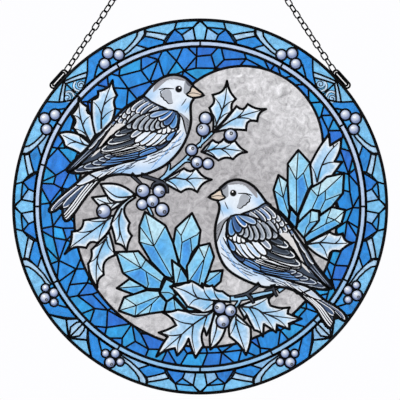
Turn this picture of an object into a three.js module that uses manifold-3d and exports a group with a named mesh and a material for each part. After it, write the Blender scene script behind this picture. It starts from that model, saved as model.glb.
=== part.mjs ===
// A round stained glass panel with two birds among leaves, berries and crystals.
// It hangs by one chain from a hook, in millimetres, with +Z up and its front facing -Y.
// The origin is where the hook bears inside the chain's middle link.

import * as THREE from "three";
import { mergeVertices } from "three/addons/utils/BufferGeometryUtils.js";
import Module from "manifold-3d";

const wasm = await Module();
wasm.setup();

// Driving dimensions of the panel.
const PANEL_RADIUS = 200;
const RIM_WIDTH = 2;
const RIM_DEPTH = 6;
const RIM_SEGMENTS = 64;
const CIRCLE_SEGMENTS = 40;
const GAP = 0.3;
const LEAD_DEPTH = 4.4;
const LEAD_HALF_WIDTH = 1.3;
const LEAD_RADIUS = PANEL_RADIUS - RIM_WIDTH - GAP;
const GLASS_DEPTH = 3;
const CUTTER_DEPTH = 20;
const DISC_CENTRE_Z = -357.6;

// The rings of the design, measured to the middle of their lead lines.
const BORDER_RADIUS = LEAD_RADIUS - 0.1;
const BAND_OUTER_RADIUS = 176.35;
const BAND_INNER_RADIUS = 170.2;
const MOON = { x: 45.6, y: 64.3, radius: 85 };
const LOW_SKY = { x: 5.7, y: -9.9, radius: 139.7 };

// The hanging rings and the chain.
const HANGER_ANGLE = 42;
const HANGER_RADIUS = 202.8;
const HANGER_LENGTH = 25.6;
const HANGER_WIDTH = 9.6;
const HANGER_WIRE = 1.4;
const HANGER_Y = 5.2;
const LINK_WIDTH = 6.6;
const LINK_WIRE = 1.3;
const LINKS_PER_STRAND = 33;
const LINK_CONTACT = 0.12;
const TRIANGLE_WIRE_RADIUS = 0.85;
const MIDDLE_HALF_LENGTH = 6;
const MIDDLE_WIDTH = 8;
const STRAND_TOP = { x: 3.9, z: -4.05 };

// Pieces of glass smaller than this, in square millimetres, are filled with lead.
const MIN_PIECE_AREA = 260;
const SIMPLIFY = 0.08;

// Finishes.
const BLACK_METAL = { color: 0x17161a, roughness: 0.45, metalness: 0.8 };
const FINISHES = {
  metal: BLACK_METAL,
  deepBlue: { color: 0x2378d8, roughness: 0.15, metalness: 0 },
  skyBlue: { color: 0x62b2ec, roughness: 0.15, metalness: 0 },
  paleBlue: { color: 0xc6daf8, roughness: 0.15, metalness: 0 },
  grey: { color: 0xc9c8cb, roughness: 0.3, metalness: 0 },
  ice: { color: 0xa9d6f5, roughness: 0.15, metalness: 0 },
  leaf: { color: 0xcfe7f8, roughness: 0.2, metalness: 0 },
  pearl: { color: 0xb4bce2, roughness: 0.1, metalness: 0 },
  white: { color: 0xe9eef5, roughness: 0.2, metalness: 0 },
  slate: { color: 0x4a5568, roughness: 0.25, metalness: 0 },
};

const radians = THREE.MathUtils.degToRad;
const point = (x, y) => new THREE.Vector2(x, y);
const polar = (radius, degrees) =>
  point(radius * Math.cos(radians(degrees)), radius * Math.sin(radians(degrees)));

// Solids: a three.js geometry becomes a manifold, and a manifold becomes a named mesh.

function solidFrom(geometry) {
  const bare = geometry.clone();
  bare.deleteAttribute("normal");
  bare.deleteAttribute("uv");
  const merged = mergeVertices(bare, 1e-4);
  const vertProperties = new Float32Array(merged.attributes.position.array);
  const triVerts = new Uint32Array(merged.index.array);
  const solid = new wasm.Manifold(new wasm.Mesh({ numProp: 3, vertProperties, triVerts }));
  if (solid.volume() > 0) return solid;
  return new wasm.Manifold(
    new wasm.Mesh({ numProp: 3, vertProperties, triVerts: triVerts.reverse() }),
  );
}

function meshFrom(name, solid, finish) {
  const data = solid.getMesh();
  const geometry = new THREE.BufferGeometry();
  const positions = new THREE.BufferAttribute(new Float32Array(data.vertProperties), 3);
  geometry.setAttribute("position", positions);
  geometry.setIndex(new THREE.BufferAttribute(new Uint32Array(data.triVerts), 1));
  geometry.computeVertexNormals();
  const mesh = new THREE.Mesh(geometry, new THREE.MeshStandardMaterial(FINISHES[finish]));
  mesh.name = name;
  return mesh;
}

const union = (solids) => solids.reduce((whole, next) => whole.add(next));

// Drawing: an outline is a list of points in the panel's plane, turned anticlockwise.

function anticlockwise(outline) {
  return THREE.ShapeUtils.area(outline) < 0 ? [...outline].reverse() : outline;
}

function circle(x, y, radius, segments = CIRCLE_SEGMENTS, phase = 0) {
  const outline = [];
  for (let i = 0; i < segments; i += 1) {
    const spoke = polar(radius, phase + (360 * i) / segments);
    outline.push(point(x + spoke.x, y + spoke.y));
  }
  return outline;
}

// Moves every side of an outline outwards by a distance, or inwards by a negative one.
// A sharp corner moves no further than the limit, counted in distances.
function offset(outline, distance, limit = 6) {
  const count = outline.length;
  return outline.map((corner, i) => {
    const before = corner.clone().sub(outline[(i + count - 1) % count]).normalize();
    const after = outline[(i + 1) % count].clone().sub(corner).normalize();
    const bisector = point(before.y + after.y, -before.x - after.x);
    const stretch = 2 / Math.max(bisector.lengthSq(), 1e-6);
    const reach = Math.min(stretch * bisector.length(), limit);
    return corner.clone().add(bisector.normalize().multiplyScalar(distance * reach));
  });
}

// Extrudes an outline to a depth, centred on the panel's middle plane.
function slab(outline, depth) {
  const shape = new THREE.Shape(outline);
  const geometry = new THREE.ExtrudeGeometry(shape, { depth, bevelEnabled: false });
  geometry.rotateX(Math.PI / 2);
  geometry.translate(0, depth / 2, DISC_CENTRE_Z);
  return solidFrom(geometry);
}

// A pointed leaf with two spiky lobes on each side, from its stem to its tip.
function leaf(stem, tip, halfWidth) {
  const along = point(tip[0] - stem[0], tip[1] - stem[1]);
  const across = point(-along.y, along.x).normalize().multiplyScalar(halfWidth);
  const at = (run, side) =>
    point(stem[0] + along.x * run + across.x * side, stem[1] + along.y * run + across.y * side);
  const edge = [
    [0.34, 0.9],
    [0.44, 0.5],
    [0.7, 0.95],
  ];
  const left = edge.map(([run, side]) => at(run, side));
  const right = edge.map(([run, side]) => at(run, -side)).reverse();
  return anticlockwise([at(0, 0), ...left, at(1, 0), ...right]);
}

// A leaf without the notches between its lobes, which the lead around it fills.
function leafCover(stem, tip, halfWidth) {
  return leaf(stem, tip, halfWidth).filter((corner, i) => i % 4 !== 1);
}

// A straight strip of lead between two points, as wide as the lines around the figures.
function strip(from, to, halfWidth) {
  const along = to.clone().sub(from).normalize().multiplyScalar(halfWidth);
  const across = point(-along.y, along.x);
  const start = from.clone().sub(along);
  const end = to.clone().add(along);
  return [
    start.clone().sub(across),
    end.clone().sub(across),
    end.clone().add(across),
    start.clone().add(across),
  ];
}

// A crystal: a straight shaft that ends in a point.
function crystal(stem, tip, halfWidth, shoulder = 0.75) {
  const along = point(tip[0] - stem[0], tip[1] - stem[1]);
  const across = point(-along.y, along.x).normalize().multiplyScalar(halfWidth);
  const at = (run, side) =>
    point(stem[0] + along.x * run + across.x * side, stem[1] + along.y * run + across.y * side);
  return anticlockwise([
    at(0, -0.6),
    at(shoulder, -1),
    at(1, 0),
    at(shoulder, 1),
    at(0, 0.6),
  ]);
}

// The bird, drawn facing +X around its eye. Fullness pushes the breast and belly outwards.
function birdOutlines(fullness) {
  const belly = [
    [12.5, -23.4, 0.3],
    [12.2, -38.4, 0.7],
    [8.2, -54.6, 1],
    [-3.3, -69.6, 1],
    [-20.6, -82.2, 0.8],
    [-45, -91, 0.3],
    [-80, -95.5, 0],
  ].map(([x, y, share]) => [x + 0.75 * fullness * share, y - 0.5 * fullness * share]);
  return {
    wing: [
      [0.1, -30.3],
      [-3.3, -44.1],
      [-9, -56.8],
      [-26.4, -67.2],
      [-55.2, -77.6],
      [-116.4, -89.7],
      [-98, -73],
      [-55.2, -38.4],
      [-32.1, -26.8],
      [-14.9, -21.6],
    ],
    head: [
      [-36, -7],
      [-27.5, 3.2],
      [-17.1, 12.3],
      [-3.3, 15.3],
      [13.9, 7.8],
      [26.1, -7],
      [15.5, -9.6],
      belly[0],
      [-3, -24.5],
      [-20, -19.1],
    ],
    breast: [...belly, [-85, -82], [-50, -70], [-12, -40], [-3, -24.5]],
    back: [
      [-36, -7],
      [-59.9, -22.2],
      [-90, -54.5],
      [-121, -87],
      [-100, -80],
      [-55, -50],
      [-12, -32],
      [-3, -24.5],
      [-20, -19.1],
    ],
    tail: [
      [-75, -80],
      [-104, -88],
      [-140.1, -130.6],
      [-125.6, -127.2],
      [-119.9, -141.6],
      [-76, -93],
    ],
  };
}

function bird({ x, y, scale, turn, facing, fullness }) {
  const cos = Math.cos(radians(turn)) * scale;
  const sin = Math.sin(radians(turn)) * scale;
  const place = ([u, v]) => {
    const side = facing * u;
    return point(x + side * cos - v * sin, y + side * sin + v * cos);
  };
  const outlines = birdOutlines(fullness);
  return Object.fromEntries(
    Object.entries(outlines).map(([name, points]) => [name, anticlockwise(points.map(place))]),
  );
}

// One of the border's equal sectors, drawn right to the middle, where other figures cover it.
function sector(index) {
  const outline = [point(0, 0)];
  const steps = CIRCLE_SEGMENTS / BORDER_GROUPS.length;
  for (let i = 0; i <= steps; i += 1) {
    outline.push(polar(BORDER_RADIUS, SECTOR_ANGLE * (index + i / steps)));
  }
  return outline;
}

// The sky: a moon and the part of a larger disc that lies below both birds.
function skyOutlines() {
  const low = [];
  const from = 180;
  const to = 318;
  const steps = 16;
  for (let i = 0; i <= steps; i += 1) {
    const spoke = polar(LOW_SKY.radius, from + ((to - from) * i) / steps);
    low.push(point(LOW_SKY.x + spoke.x, LOW_SKY.y + spoke.y));
  }
  const behindBirds = [point(95, -25), point(100, 30), point(20, 90), point(-20, 110)];
  return [circle(MOON.x, MOON.y, MOON.radius, 32), [...low, ...behindBirds]];
}

// Berries in the border: three in the upper half's groups, four in the lower half's.
const BERRY = { border: 4.5, inner: 6.6, sides: 6, height: 3.6 };
const UPPER_GROUP = [
  [190.8, 0],
  [184, 2.7],
  [184, -2.7],
];
const LOWER_GROUP = [
  [190.6, 0],
  [186, 2.7],
  [186, -2.7],
  [182.2, 0],
];
const BORDER_GROUPS = [29.5, 59, 121, 150.5, 210.5, 240, 300, 330.5].map((angle) =>
  (angle < 180 ? UPPER_GROUP : LOWER_GROUP).map(([radius, turn]) => ({
    ...polar(radius, angle + turn),
    radius: BERRY.border,
  })),
);
const SECTOR_ANGLE = 360 / BORDER_GROUPS.length;

const INNER_GROUPS = {
  berries_branch_top: [
    [4.6, 93.4],
    [3.2, 82.4],
  ],
  berry_right: [[32.4, 75.8]],
  berries_branch_middle: [
    [-8, 57.5],
    [-2.6, 47.8],
    [8.2, 45.6],
  ],
  berries_perch: [
    [-61, 15.6],
    [-61.6, 4.6],
    [-50.6, 6],
    [-43.6, 14.6],
    [-41.6, -0.4],
  ],
  berry_left: [[-102.4, -5.1]],
  berries_bottom: [
    [20.6, -108.2],
    [31.4, -110.6],
    [24.6, -118.6],
  ],
};

const LEAVES = {
  leaves_upper_left: [
    [[-101, 72], [-93.5, 132.7], 13.5],
    [[-112, 62], [-129.2, 115.1], 11.5],
    [[-112, 58], [-149.5, 77.9], 11.5],
  ],
  leaves_upper_right: [
    [[14.7, 79.9], [28.3, 132.8], 13.5],
    [[14.7, 80.3], [69.7, 103.7], 13.5],
  ],
  leaf_middle_right: [[[1.2, 58.2], [49.7, 58.2], 12]],
  leaf_middle: [[[-39.9, 27.8], [11, 28.2], 12.5]],
  leaves_left: [
    [[-68.9, 12.8], [-105.8, 22], 8],
    [[-72, 9], [-113.9, 9.4], 8],
  ],
  leaf_left_outer: [[[-90, -9.1], [-143.5, -49.1], 14]],
  leaf_left_low: [[[-96, -26], [-109.5, -86], 13.5]],
  leaf_left_inner: [[[-85.2, -1.8], [-78.3, -46.8], 10.5]],
  leaf_right_high: [[[118, 14], [143.4, 77.6], 15]],
  leaf_right_low: [[[104, -40.2], [160.1, -38.9], 13]],
  leaves_bottom_right: [
    [[34, -105], [105.3, -119.5], 20],
    [[30, -112], [48.7, -155.9], 12],
  ],
  leaves_bottom_left: [
    [[20, -106], [-45.9, -159.2], 26],
    [[16, -112], [9, -150.5], 10],
    [[20, -101], [-31.3, -85.5], 15],
  ],
};

const CRYSTALS = {
  crystals_left: [
    [[-31, -80], [-58.9, -6], 14.5, 0.8],
    [[-24, -76], [-8.3, -6.7], 13, 0.78],
    [[-30, -82], [-84, -52], 14, 0.8],
    [[-45, -84], [-88.8, -86.7], 8.5, 0.7],
    [[-30, -92], [-86, -108], 12, 0.85],
    [[-20, -84], [10.1, -40.5], 12, 0.75],
    [[-4, -90], [23.6, -67.8], 9, 0.65],
  ],
  crystals_right: [
    [[103, -20], [104.3, 60.9], 12.5, 0.82],
    [[98, -20], [83.2, 32.4], 8.5, 0.72],
    [[100, -24], [150, 29], 14.5, 0.82],
    [[102, -38], [152, -8], 9.5, 0.78],
    [[98, -40], [124, -5], 8, 0.75],
  ],
};

// Twigs in the sky and lead lines in the mosaic, each a run of points. They tie the lead of the
// figures to the rings.
const TWIGS = [
  [[-42.7, 12], [-42.7, 28.2], [-16.1, 49.5], [14.7, 80.3]],
  [[-95, -8], [-85.2, 0], [-66, 12]],
  [[24, -110], [40, -96.3], [62, -91], [62, -80]],
  [[-60, 4], [-58.9, -10]],
];
const MOSAIC_LINES = [
  [[-129, -52], [-152, -76]],
  [[-88, -112], [-108, -132]],
  [[70, -118], [88, -146]],
  [[10, 140], [-2, 171]],
];

// Every figure of the design from the top one down. Each is cut out of all that lie below it.
// A figure's cover is what its lead fills, where that is plainer than its own outline. A figure
// of lines is lead alone.
function figures() {
  const list = [];
  const leadRadius = BERRY.inner + LEAD_HALF_WIDTH / Math.cos(Math.PI / BERRY.sides);
  Object.entries(INNER_GROUPS).forEach(([name, places]) => {
    const berries = places.map(([x, y]) => ({ x, y, radius: BERRY.inner }));
    const outlines = places.map(([x, y]) => circle(x, y, leadRadius, BERRY.sides, 30));
    list.push({ name, berries, finish: "pearl", outlines, loose: true });
  });

  const leavesOf = (names) =>
    names.forEach((name) =>
      list.push({
        name,
        finish: "leaf",
        outlines: LEAVES[name].map((row) => leaf(...row)),
        cover: LEAVES[name].map((row) => leafCover(...row)),
      }),
    );
  const crystalsOf = (name) =>
    list.push({ name, finish: "ice", outlines: CRYSTALS[name].map((row) => crystal(...row)) });
  const birdOf = (name, pieces) => {
    const finishes = { wing: "slate", head: "white", breast: "white", back: "slate", tail: "slate" };
    Object.entries(pieces).forEach(([piece, outline]) =>
      list.push({ name: `${name}_${piece}`, finish: finishes[piece], outlines: [outline] }),
    );
  };

  birdOf("lower_bird", bird({ x: 34.6, y: 13.8, scale: 0.957, turn: -5, facing: -1, fullness: 8 }));
  birdOf("upper_bird", bird({ x: -22.8, y: 125, scale: 1, turn: 0, facing: 1, fullness: 0 }));
  leavesOf(["leaves_bottom_right", "leaves_bottom_left"]);
  crystalsOf("crystals_left");
  leavesOf(["leaves_upper_left", "leaves_upper_right", "leaf_middle_right", "leaf_middle"]);
  leavesOf(["leaves_left", "leaf_left_outer", "leaf_left_inner", "leaf_left_low"]);
  crystalsOf("crystals_right");
  leavesOf(["leaf_right_high", "leaf_right_low"]);
  list.push({ name: "twigs", lines: TWIGS });
  list.push({ name: "sky_glass", finish: "grey", outlines: skyOutlines() });
  list.push({ name: "mosaic_lines", lines: MOSAIC_LINES });
  const disc = (name, finish, radius) =>
    list.push({ name, finish, outlines: [circle(0, 0, radius)] });
  disc("mosaic_glass", "deepBlue", BAND_INNER_RADIUS);
  disc("band_glass", "paleBlue", BAND_OUTER_RADIUS);
  BORDER_GROUPS.forEach((berries, i) => {
    const name = `border_glass_${i + 1}`;
    list.push({ name, berries, finish: "skyBlue", outlines: [sector(i)] });
  });
  return list;
}

const largestFirst = (a, b) => b.volume() - a.volume();

// Cuts every figure by the ones above it, with a lead line of the given half width around each.
function cutOut(list, halfWidth, smallest) {
  let covered = null;
  const inset = (outline) => slab(offset(outline, -halfWidth), CUTTER_DEPTH);
  const grown = (outline) => slab(offset(outline, halfWidth, 1.6), CUTTER_DEPTH);
  return list.map((figure) => {
    if (figure.lines) {
      const strips = figure.lines.flatMap((line) =>
        line.slice(1).map((end, i) => strip(point(...line[i]), point(...end), halfWidth)),
      );
      covered = union([covered, ...strips.map((outline) => slab(outline, CUTTER_DEPTH))]);
      return [];
    }
    let own = union(figure.outlines.map(inset));
    if (covered) own = own.subtract(covered);
    const fill = union((figure.cover ?? figure.outlines).map(grown));
    covered = covered ? covered.add(fill) : fill;
    return own
      .decompose()
      .filter((piece) => figure.loose || piece.volume() > smallest * CUTTER_DEPTH)
      .sort(largestFirst);
  });
}

// A glass berry: a drum with a faceted dome on the panel's front. It starts inside the glass
// that carries it, or at the back where it lies in the lead alone.
function berrySolid({ x, y, radius }, back) {
  const profile = [
    point(0, -BERRY.height),
    point(0.55 * radius, -BERRY.height),
    point(radius, -GLASS_DEPTH / 2),
    point(radius, back),
    point(0, back),
  ];
  const geometry = new THREE.LatheGeometry(profile, BERRY.sides);
  geometry.translate(x, 0, y + DISC_CENTRE_Z);
  return solidFrom(geometry);
}

// Sweeps a wire of few sides round a closed loop of points in the XZ plane, with an edge of the
// wire towards the middle of the loop.
function wireLoop(loop, radius, sides) {
  const count = loop.length;
  const rings = offset(loop, radius, 3).map((outer, i) => {
    const spoke = outer.clone().sub(loop[i]);
    const ring = [];
    for (let k = 0; k < sides; k += 1) {
      const angle = Math.PI + (2 * Math.PI * k) / sides;
      const out = spoke.clone().multiplyScalar(Math.cos(angle));
      ring.push([loop[i].x + out.x, radius * Math.sin(angle), loop[i].y + out.y]);
    }
    return ring;
  });
  const triangles = [];
  for (let i = 0; i < count; i += 1) {
    for (let k = 0; k < sides; k += 1) {
      const a = i * sides + k;
      const b = i * sides + ((k + 1) % sides);
      const c = ((i + 1) % count) * sides + k;
      const d = ((i + 1) % count) * sides + ((k + 1) % sides);
      triangles.push(a, c, b, b, c, d);
    }
  }
  const geometry = new THREE.BufferGeometry();
  const positions = new Float32Array(rings.flat(2));
  geometry.setAttribute("position", new THREE.BufferAttribute(positions, 3));
  geometry.setIndex(triangles);
  return geometry;
}

// A chain link in the XZ plane, with its length along Z.
function linkGeometry(halfLength, width, radius, sides) {
  const side = (width - LINK_WIRE) / 2;
  const loop = [
    point(side, -halfLength),
    point(side, halfLength),
    point(-side, halfLength),
    point(-side, -halfLength),
  ];
  return wireLoop(loop, radius, sides);
}

// The oval hanging ring behind the rim, with the blob of solder that holds it.
function hangerParts(side) {
  const angle = side > 0 ? HANGER_ANGLE : 180 - HANGER_ANGLE;
  const centre = polar(HANGER_RADIUS, angle);
  const straight = (HANGER_LENGTH - HANGER_WIDTH) / 2;
  const bend = (HANGER_WIDTH - HANGER_WIRE) / 2;
  const loop = [];
  const steps = 4;
  [0, 180].forEach((start) => {
    for (let i = 0; i <= steps; i += 1) {
      const spoke = polar(bend, start + (180 * i) / steps);
      loop.push(point(spoke.x, spoke.y + (start ? -straight : straight)));
    }
  });
  const ring = wireLoop(loop, HANGER_WIRE / 2, 4);
  const blob = new THREE.BoxGeometry(2.4, 2.6, 9);
  blob.translate(-bend, RIM_DEPTH / 2 + GAP + 1.3 - HANGER_Y, 0);
  const place = (geometry) => {
    geometry.rotateY(-radians(angle));
    geometry.translate(centre.x, HANGER_Y, centre.y + DISC_CENTRE_Z);
    return solidFrom(geometry);
  };
  return place(ring).add(place(blob));
}

// The end of the ring that the chain takes hold of.
function hangerEnd(side) {
  const angle = side > 0 ? HANGER_ANGLE : 180 - HANGER_ANGLE;
  const centre = polar(HANGER_RADIUS, angle);
  const tangent = polar((HANGER_LENGTH - HANGER_WIRE) / 2, angle + 90 * side);
  return new THREE.Vector3(centre.x + tangent.x, HANGER_Y, centre.y + tangent.y + DISC_CENTRE_Z);
}

// The middle link hangs on the hook, with its long axis level and its upper bar over the origin.
function middleLink() {
  const geometry = linkGeometry(MIDDLE_HALF_LENGTH, MIDDLE_WIDTH, LINK_WIRE / 2, 4);
  geometry.rotateY(Math.PI / 2);
  geometry.translate(0, 0, LINK_WIRE / 2 - (MIDDLE_WIDTH - LINK_WIRE) / 2);
  return solidFrom(geometry);
}

// One strand from its ring up to the middle link. Its links turn to each side of the strand by
// turns, and each grips the next where their ends cross.
function strand(side) {
  const low = hangerEnd(side);
  const high = new THREE.Vector3(side * STRAND_TOP.x, 0, STRAND_TOP.z);
  const run = high.clone().sub(low);
  const direction = run.clone().normalize();
  const hold = HANGER_WIRE / 2 + TRIANGLE_WIRE_RADIUS + GAP;
  const bite = 2 * TRIANGLE_WIRE_RADIUS - LINK_CONTACT;
  const pitch = (run.length() + hold - bite) / LINKS_PER_STRAND;
  const half = (pitch + bite) / 2;
  const upright = new THREE.Vector3(0, 0, 1);
  const tilt = new THREE.Quaternion().setFromUnitVectors(upright, direction);
  const links = [];
  for (let i = 0; i < LINKS_PER_STRAND; i += 1) {
    const turn = new THREE.Quaternion().setFromAxisAngle(upright, radians(i % 2 ? 45 : -45));
    const geometry = linkGeometry(half, LINK_WIDTH, TRIANGLE_WIRE_RADIUS, 3);
    geometry.applyQuaternion(tilt.clone().multiply(turn));
    const place = low.clone().addScaledVector(direction, half - hold + pitch * i);
    geometry.translate(place.x, place.y, place.z);
    links.push(solidFrom(geometry));
  }
  return union(links);
}

function rim() {
  const inner = PANEL_RADIUS - RIM_WIDTH;
  const half = RIM_DEPTH / 2;
  const profile = [
    point(inner, -half),
    point(PANEL_RADIUS, -half),
    point(PANEL_RADIUS, half),
    point(inner, half),
    point(inner, -half),
  ];
  const geometry = new THREE.LatheGeometry(profile, RIM_SEGMENTS);
  geometry.translate(0, 0, DISC_CENTRE_Z);
  return solidFrom(geometry);
}

const panel = new THREE.Group();
const add = (name, solid, finish) => panel.add(meshFrom(name, solid.simplify(SIMPLIFY), finish));

const list = figures();
const glass = cutOut(list, LEAD_HALF_WIDTH, MIN_PIECE_AREA);
const holes = cutOut(list, LEAD_HALF_WIDTH - GAP, 0).flatMap((pieces, i) =>
  pieces.filter((hole) => glass[i].some((piece) => piece.intersect(hole).volume() > 1)),
);
const glassLayer = slab(circle(0, 0, PANEL_RADIUS, 24), GLASS_DEPTH);
const plate = slab(circle(0, 0, LEAD_RADIUS), LEAD_DEPTH);

add("rim", rim(), "metal");
add("lead_lines", plate.subtract(union(holes)).decompose().sort(largestFirst)[0], "metal");
list.forEach(({ name, finish, berries = [], loose }, i) => {
  if (loose) {
    add(name, union(berries.map((berry) => berrySolid(berry, GLASS_DEPTH / 2))), finish);
    return;
  }
  const domes = berries.map((berry) => berrySolid(berry, 0));
  glass[i].forEach((piece, k) => {
    const own = k === 0 ? domes : [];
    const number = glass[i].length > 1 ? `_${k + 1}` : "";
    add(name + number, union([piece.intersect(glassLayer), ...own]), finish);
  });
});
add("hanging_ring_left", hangerParts(-1), "metal");
add("hanging_ring_right", hangerParts(1), "metal");
add("chain_left", strand(-1), "metal");
add("chain_right", strand(1), "metal");
add("chain_middle_link", middleLink(), "metal");

export default panel;
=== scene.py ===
"""A round stained glass panel with two birds, hung on a black chain.

The panel is drawn flat, as a glazier's cartoon: figures lie on each other from the border up to
the birds, one plane arrangement cuts them into tiles of glass, and solder beads follow every cut.
The cartoon's grid has 400 units across, x to the right and y down. Panel coordinates are in
millimetres from the middle of the disc. The outlines of the birds, leaves, crystals, twigs and
berries were read off a photograph, so they follow its picture. The mosaic has shards of
its own.
"""

import math
import random

import bmesh
import bpy
import numpy as np
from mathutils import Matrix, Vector, kdtree, noise
from mathutils.geometry import delaunay_2d_cdt


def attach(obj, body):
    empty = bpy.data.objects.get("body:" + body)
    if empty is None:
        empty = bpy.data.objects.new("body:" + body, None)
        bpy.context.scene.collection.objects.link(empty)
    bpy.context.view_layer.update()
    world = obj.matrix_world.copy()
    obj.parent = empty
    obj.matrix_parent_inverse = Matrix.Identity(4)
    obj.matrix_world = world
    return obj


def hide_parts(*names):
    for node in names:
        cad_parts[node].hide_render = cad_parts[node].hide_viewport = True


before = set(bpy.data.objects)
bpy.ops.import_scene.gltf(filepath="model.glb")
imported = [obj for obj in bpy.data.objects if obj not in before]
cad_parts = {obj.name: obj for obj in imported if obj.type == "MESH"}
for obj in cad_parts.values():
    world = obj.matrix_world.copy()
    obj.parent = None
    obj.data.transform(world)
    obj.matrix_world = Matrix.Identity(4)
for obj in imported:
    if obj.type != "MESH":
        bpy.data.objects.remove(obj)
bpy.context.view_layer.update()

MM = 0.001
DISC_CENTRE_Z = -357.6
GRID_UNIT = 1.0636
GRID_MIDDLE = (200.15, 206.5)

# Rings of the design, as radii in millimetres.
RIM_OUTER = 200.0
RIM_INNER = 196.7
GLASS_RADIUS = 198.4
BAND_OUTER = 176.35
BAND_INNER = 170.2

GLASS_HALF_DEPTH = 1.5
BEAD_SINK = 0.35

# Widths of the black lines.
RING_LINE = 3.0
FIGURE_LINE = 2.8
TILE_LINE = 2.15
FACET_LINE = 1.25
BIRD_LINE = 3.2
WING_LINE = 2.1
TWIG_LINE = 1.9
NUGGET_LINE = 2.2
BAND_LINE = 2.2
BEAK_LINE = 2.2
FOOT_LINE = 1.5
BEAK_INNER_LINE = 1.6

# Colours of the painted lines.
BLACK = "#020306"
VEIN = "#070b12"

# Spacing of the extra points inside the glass.
FINE_STEP = 1.9
COARSE_STEP = 3.6

rng = random.Random(7)


def linear(code):
    """Linear colour of a hex code."""
    values = [int(code[i : i + 2], 16) / 255 for i in (1, 3, 5)]
    return np.array([v / 12.92 if v <= 0.04045 else ((v + 0.055) / 1.055) ** 2.4 for v in values])


def blend(low, high, share):
    """A colour between two, for every share."""
    share = np.asarray(share)[..., None]
    return low * (1 - share) + high * share


def ease(low, high, value):
    """Rises softly from zero at low to one at high."""
    share = np.clip((value - low) / (high - low), 0, 1)
    return share * share * (3 - 2 * share)


def at(x, y):
    """A point of the cartoon's grid in panel coordinates."""
    return ((x - GRID_MIDDLE[0]) * GRID_UNIT, (GRID_MIDDLE[1] - y) * GRID_UNIT)


def polar(radius, degrees):
    """A point by its distance and its angle from the x axis."""
    angle = math.radians(degrees)
    return (radius * math.cos(angle), radius * math.sin(angle))


def ring(centre, radius, count):
    """Points evenly spaced on a circle."""
    spokes = [polar(radius, 360 * i / count) for i in range(count)]
    return [(centre[0] + x, centre[1] + y) for x, y in spokes]


def smooth(points, steps=4, closed=True):
    """A curve through every point."""
    count = len(points)
    curve = []
    spans = count if closed else count - 1
    for i in range(spans):
        if closed:
            a, b, c, d = (np.array(points[(i + k - 1) % count]) for k in range(4))
        else:
            a, b, c, d = (np.array(points[min(max(i + k - 1, 0), count - 1)]) for k in range(4))
        for step in range(steps):
            t = step / steps
            curve.append(
                tuple(
                    0.5
                    * (
                        2 * b
                        + (c - a) * t
                        + (2 * a - 5 * b + 4 * c - d) * t * t
                        + (3 * b - a - 3 * c + d) * t * t * t
                    )
                )
            )
    if not closed:
        curve.append(tuple(points[-1]))
    return curve


def lengths(rows):
    """The length of each row, never zero."""
    return np.maximum(np.linalg.norm(rows, axis=1, keepdims=True), 1e-6)


def ribbon(points, widths):
    """The outline of a stroke along a line, with a width for each of its points."""
    line = np.array(points, dtype=float)
    if np.isscalar(widths):
        widths = [widths] * len(line)
    ahead = np.vstack([line[1:] - line[:-1], line[-1:] - line[-2:-1]])
    behind = np.vstack([ahead[:1], ahead[:-1]])
    way = ahead / lengths(ahead) + behind / lengths(behind)
    way /= lengths(way)
    across = np.stack([-way[:, 1], way[:, 0]], axis=1) * (np.array(widths)[:, None] / 2)
    return [tuple(p) for p in np.vstack([line + across, (line - across)[::-1]])]


class Figure:
    """A flat shape of the cartoon: a piece of glass, or paint on glass of the same group."""

    def __init__(self, outline, glass, group, outer=0.0, inner=0.0, tone=0.0, **facts):
        self.outline = np.array(outline, dtype=float)
        self.glass = glass
        self.group = group
        self.outer = outer
        self.inner = inner
        self.tone = tone
        self.facts = facts


figures = []
paints = []
nuggets = []


def cut(outline, glass, group, outer, inner, tone=0.0, **facts):
    """Lays a piece of glass over all that is drawn so far."""
    figures.append(Figure(outline, glass, group, outer, inner, tone, **facts))


def paint(outline, group, colour):
    """Lays paint on the glass of one group."""
    paints.append(Figure(outline, "paint", group, tone=colour))


# The border: one eighth is drawn by angle from its axis and height over the band, then mirrored.

BORDER_TONES = ["#80caf6", "#5fbdf5", "#38a1eb", "#2390e4", "#2485e0", "#92c8f5", "#b4daf8"]
BERRY_TURN = 30.0

BORDER_PIECES = [
    (1, [(2.2, 0.69), (8.0, 0.68), (6.9, 1.1), (0.0, 1.1)]),
    (5, [(2.2, 0.69), (5.9, 0.35), (4.9, -0.1), (1.4, -0.1)]),
    (4, [(8.0, 0.68), (12.7, -0.1), (4.9, -0.1), (5.9, 0.35)]),
    (0, [(6.9, 1.1), (16.8, 1.1), (16.6, 0.9), (10.3, 0.45), (8.0, 0.68)]),
    (6, [(10.3, 0.45), (16.6, 0.9), (17.4, 0.68), (11.8, 0.2)]),
    (3, [(11.8, 0.2), (17.4, 0.68), (19.0, 0.56), (20.9, 0.4), (16.7, -0.1), (12.7, -0.1)]),
    (6, [(16.8, 1.1), (18.8, 1.1), (19.8, 0.82), (21.5, 0.62), (24.4, 0.42), (28.0, 0.32),
         (28.0, 0.12), (24.0, 0.22), (20.9, 0.4), (19.0, 0.56), (17.3, 0.8)]),
    (5, [(20.9, 0.4), (24.0, 0.22), (28.0, 0.12), (28.0, -0.1), (16.7, -0.1)]),
    (0, [(18.8, 1.1), (30.5, 1.1), (30.5, 0.3), (28.0, 0.32), (24.4, 0.42), (21.5, 0.62),
         (19.8, 0.82)]),
    (2, [(30.5, 0.5), (34.4, 0.46), (38.7, -0.1), (28.0, -0.1), (28.0, 0.3)]),
    (3, [(30.5, 1.1), (35.4, 1.1), (39.4, 0.5), (43.2, -0.1), (38.7, -0.1), (34.4, 0.46),
         (30.5, 0.5)]),
]
UPPER_CORNER = [
    (0, [(35.4, 1.1), (45.0, 1.1), (45.0, 1.0), (38.1, 0.5)]),
    (6, [(38.1, 0.5), (45.0, 1.0), (45.0, 0.84), (39.4, 0.31)]),
    (1, [(39.4, 0.31), (45.0, 0.84), (45.0, -0.1), (43.2, -0.1)]),
]
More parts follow.
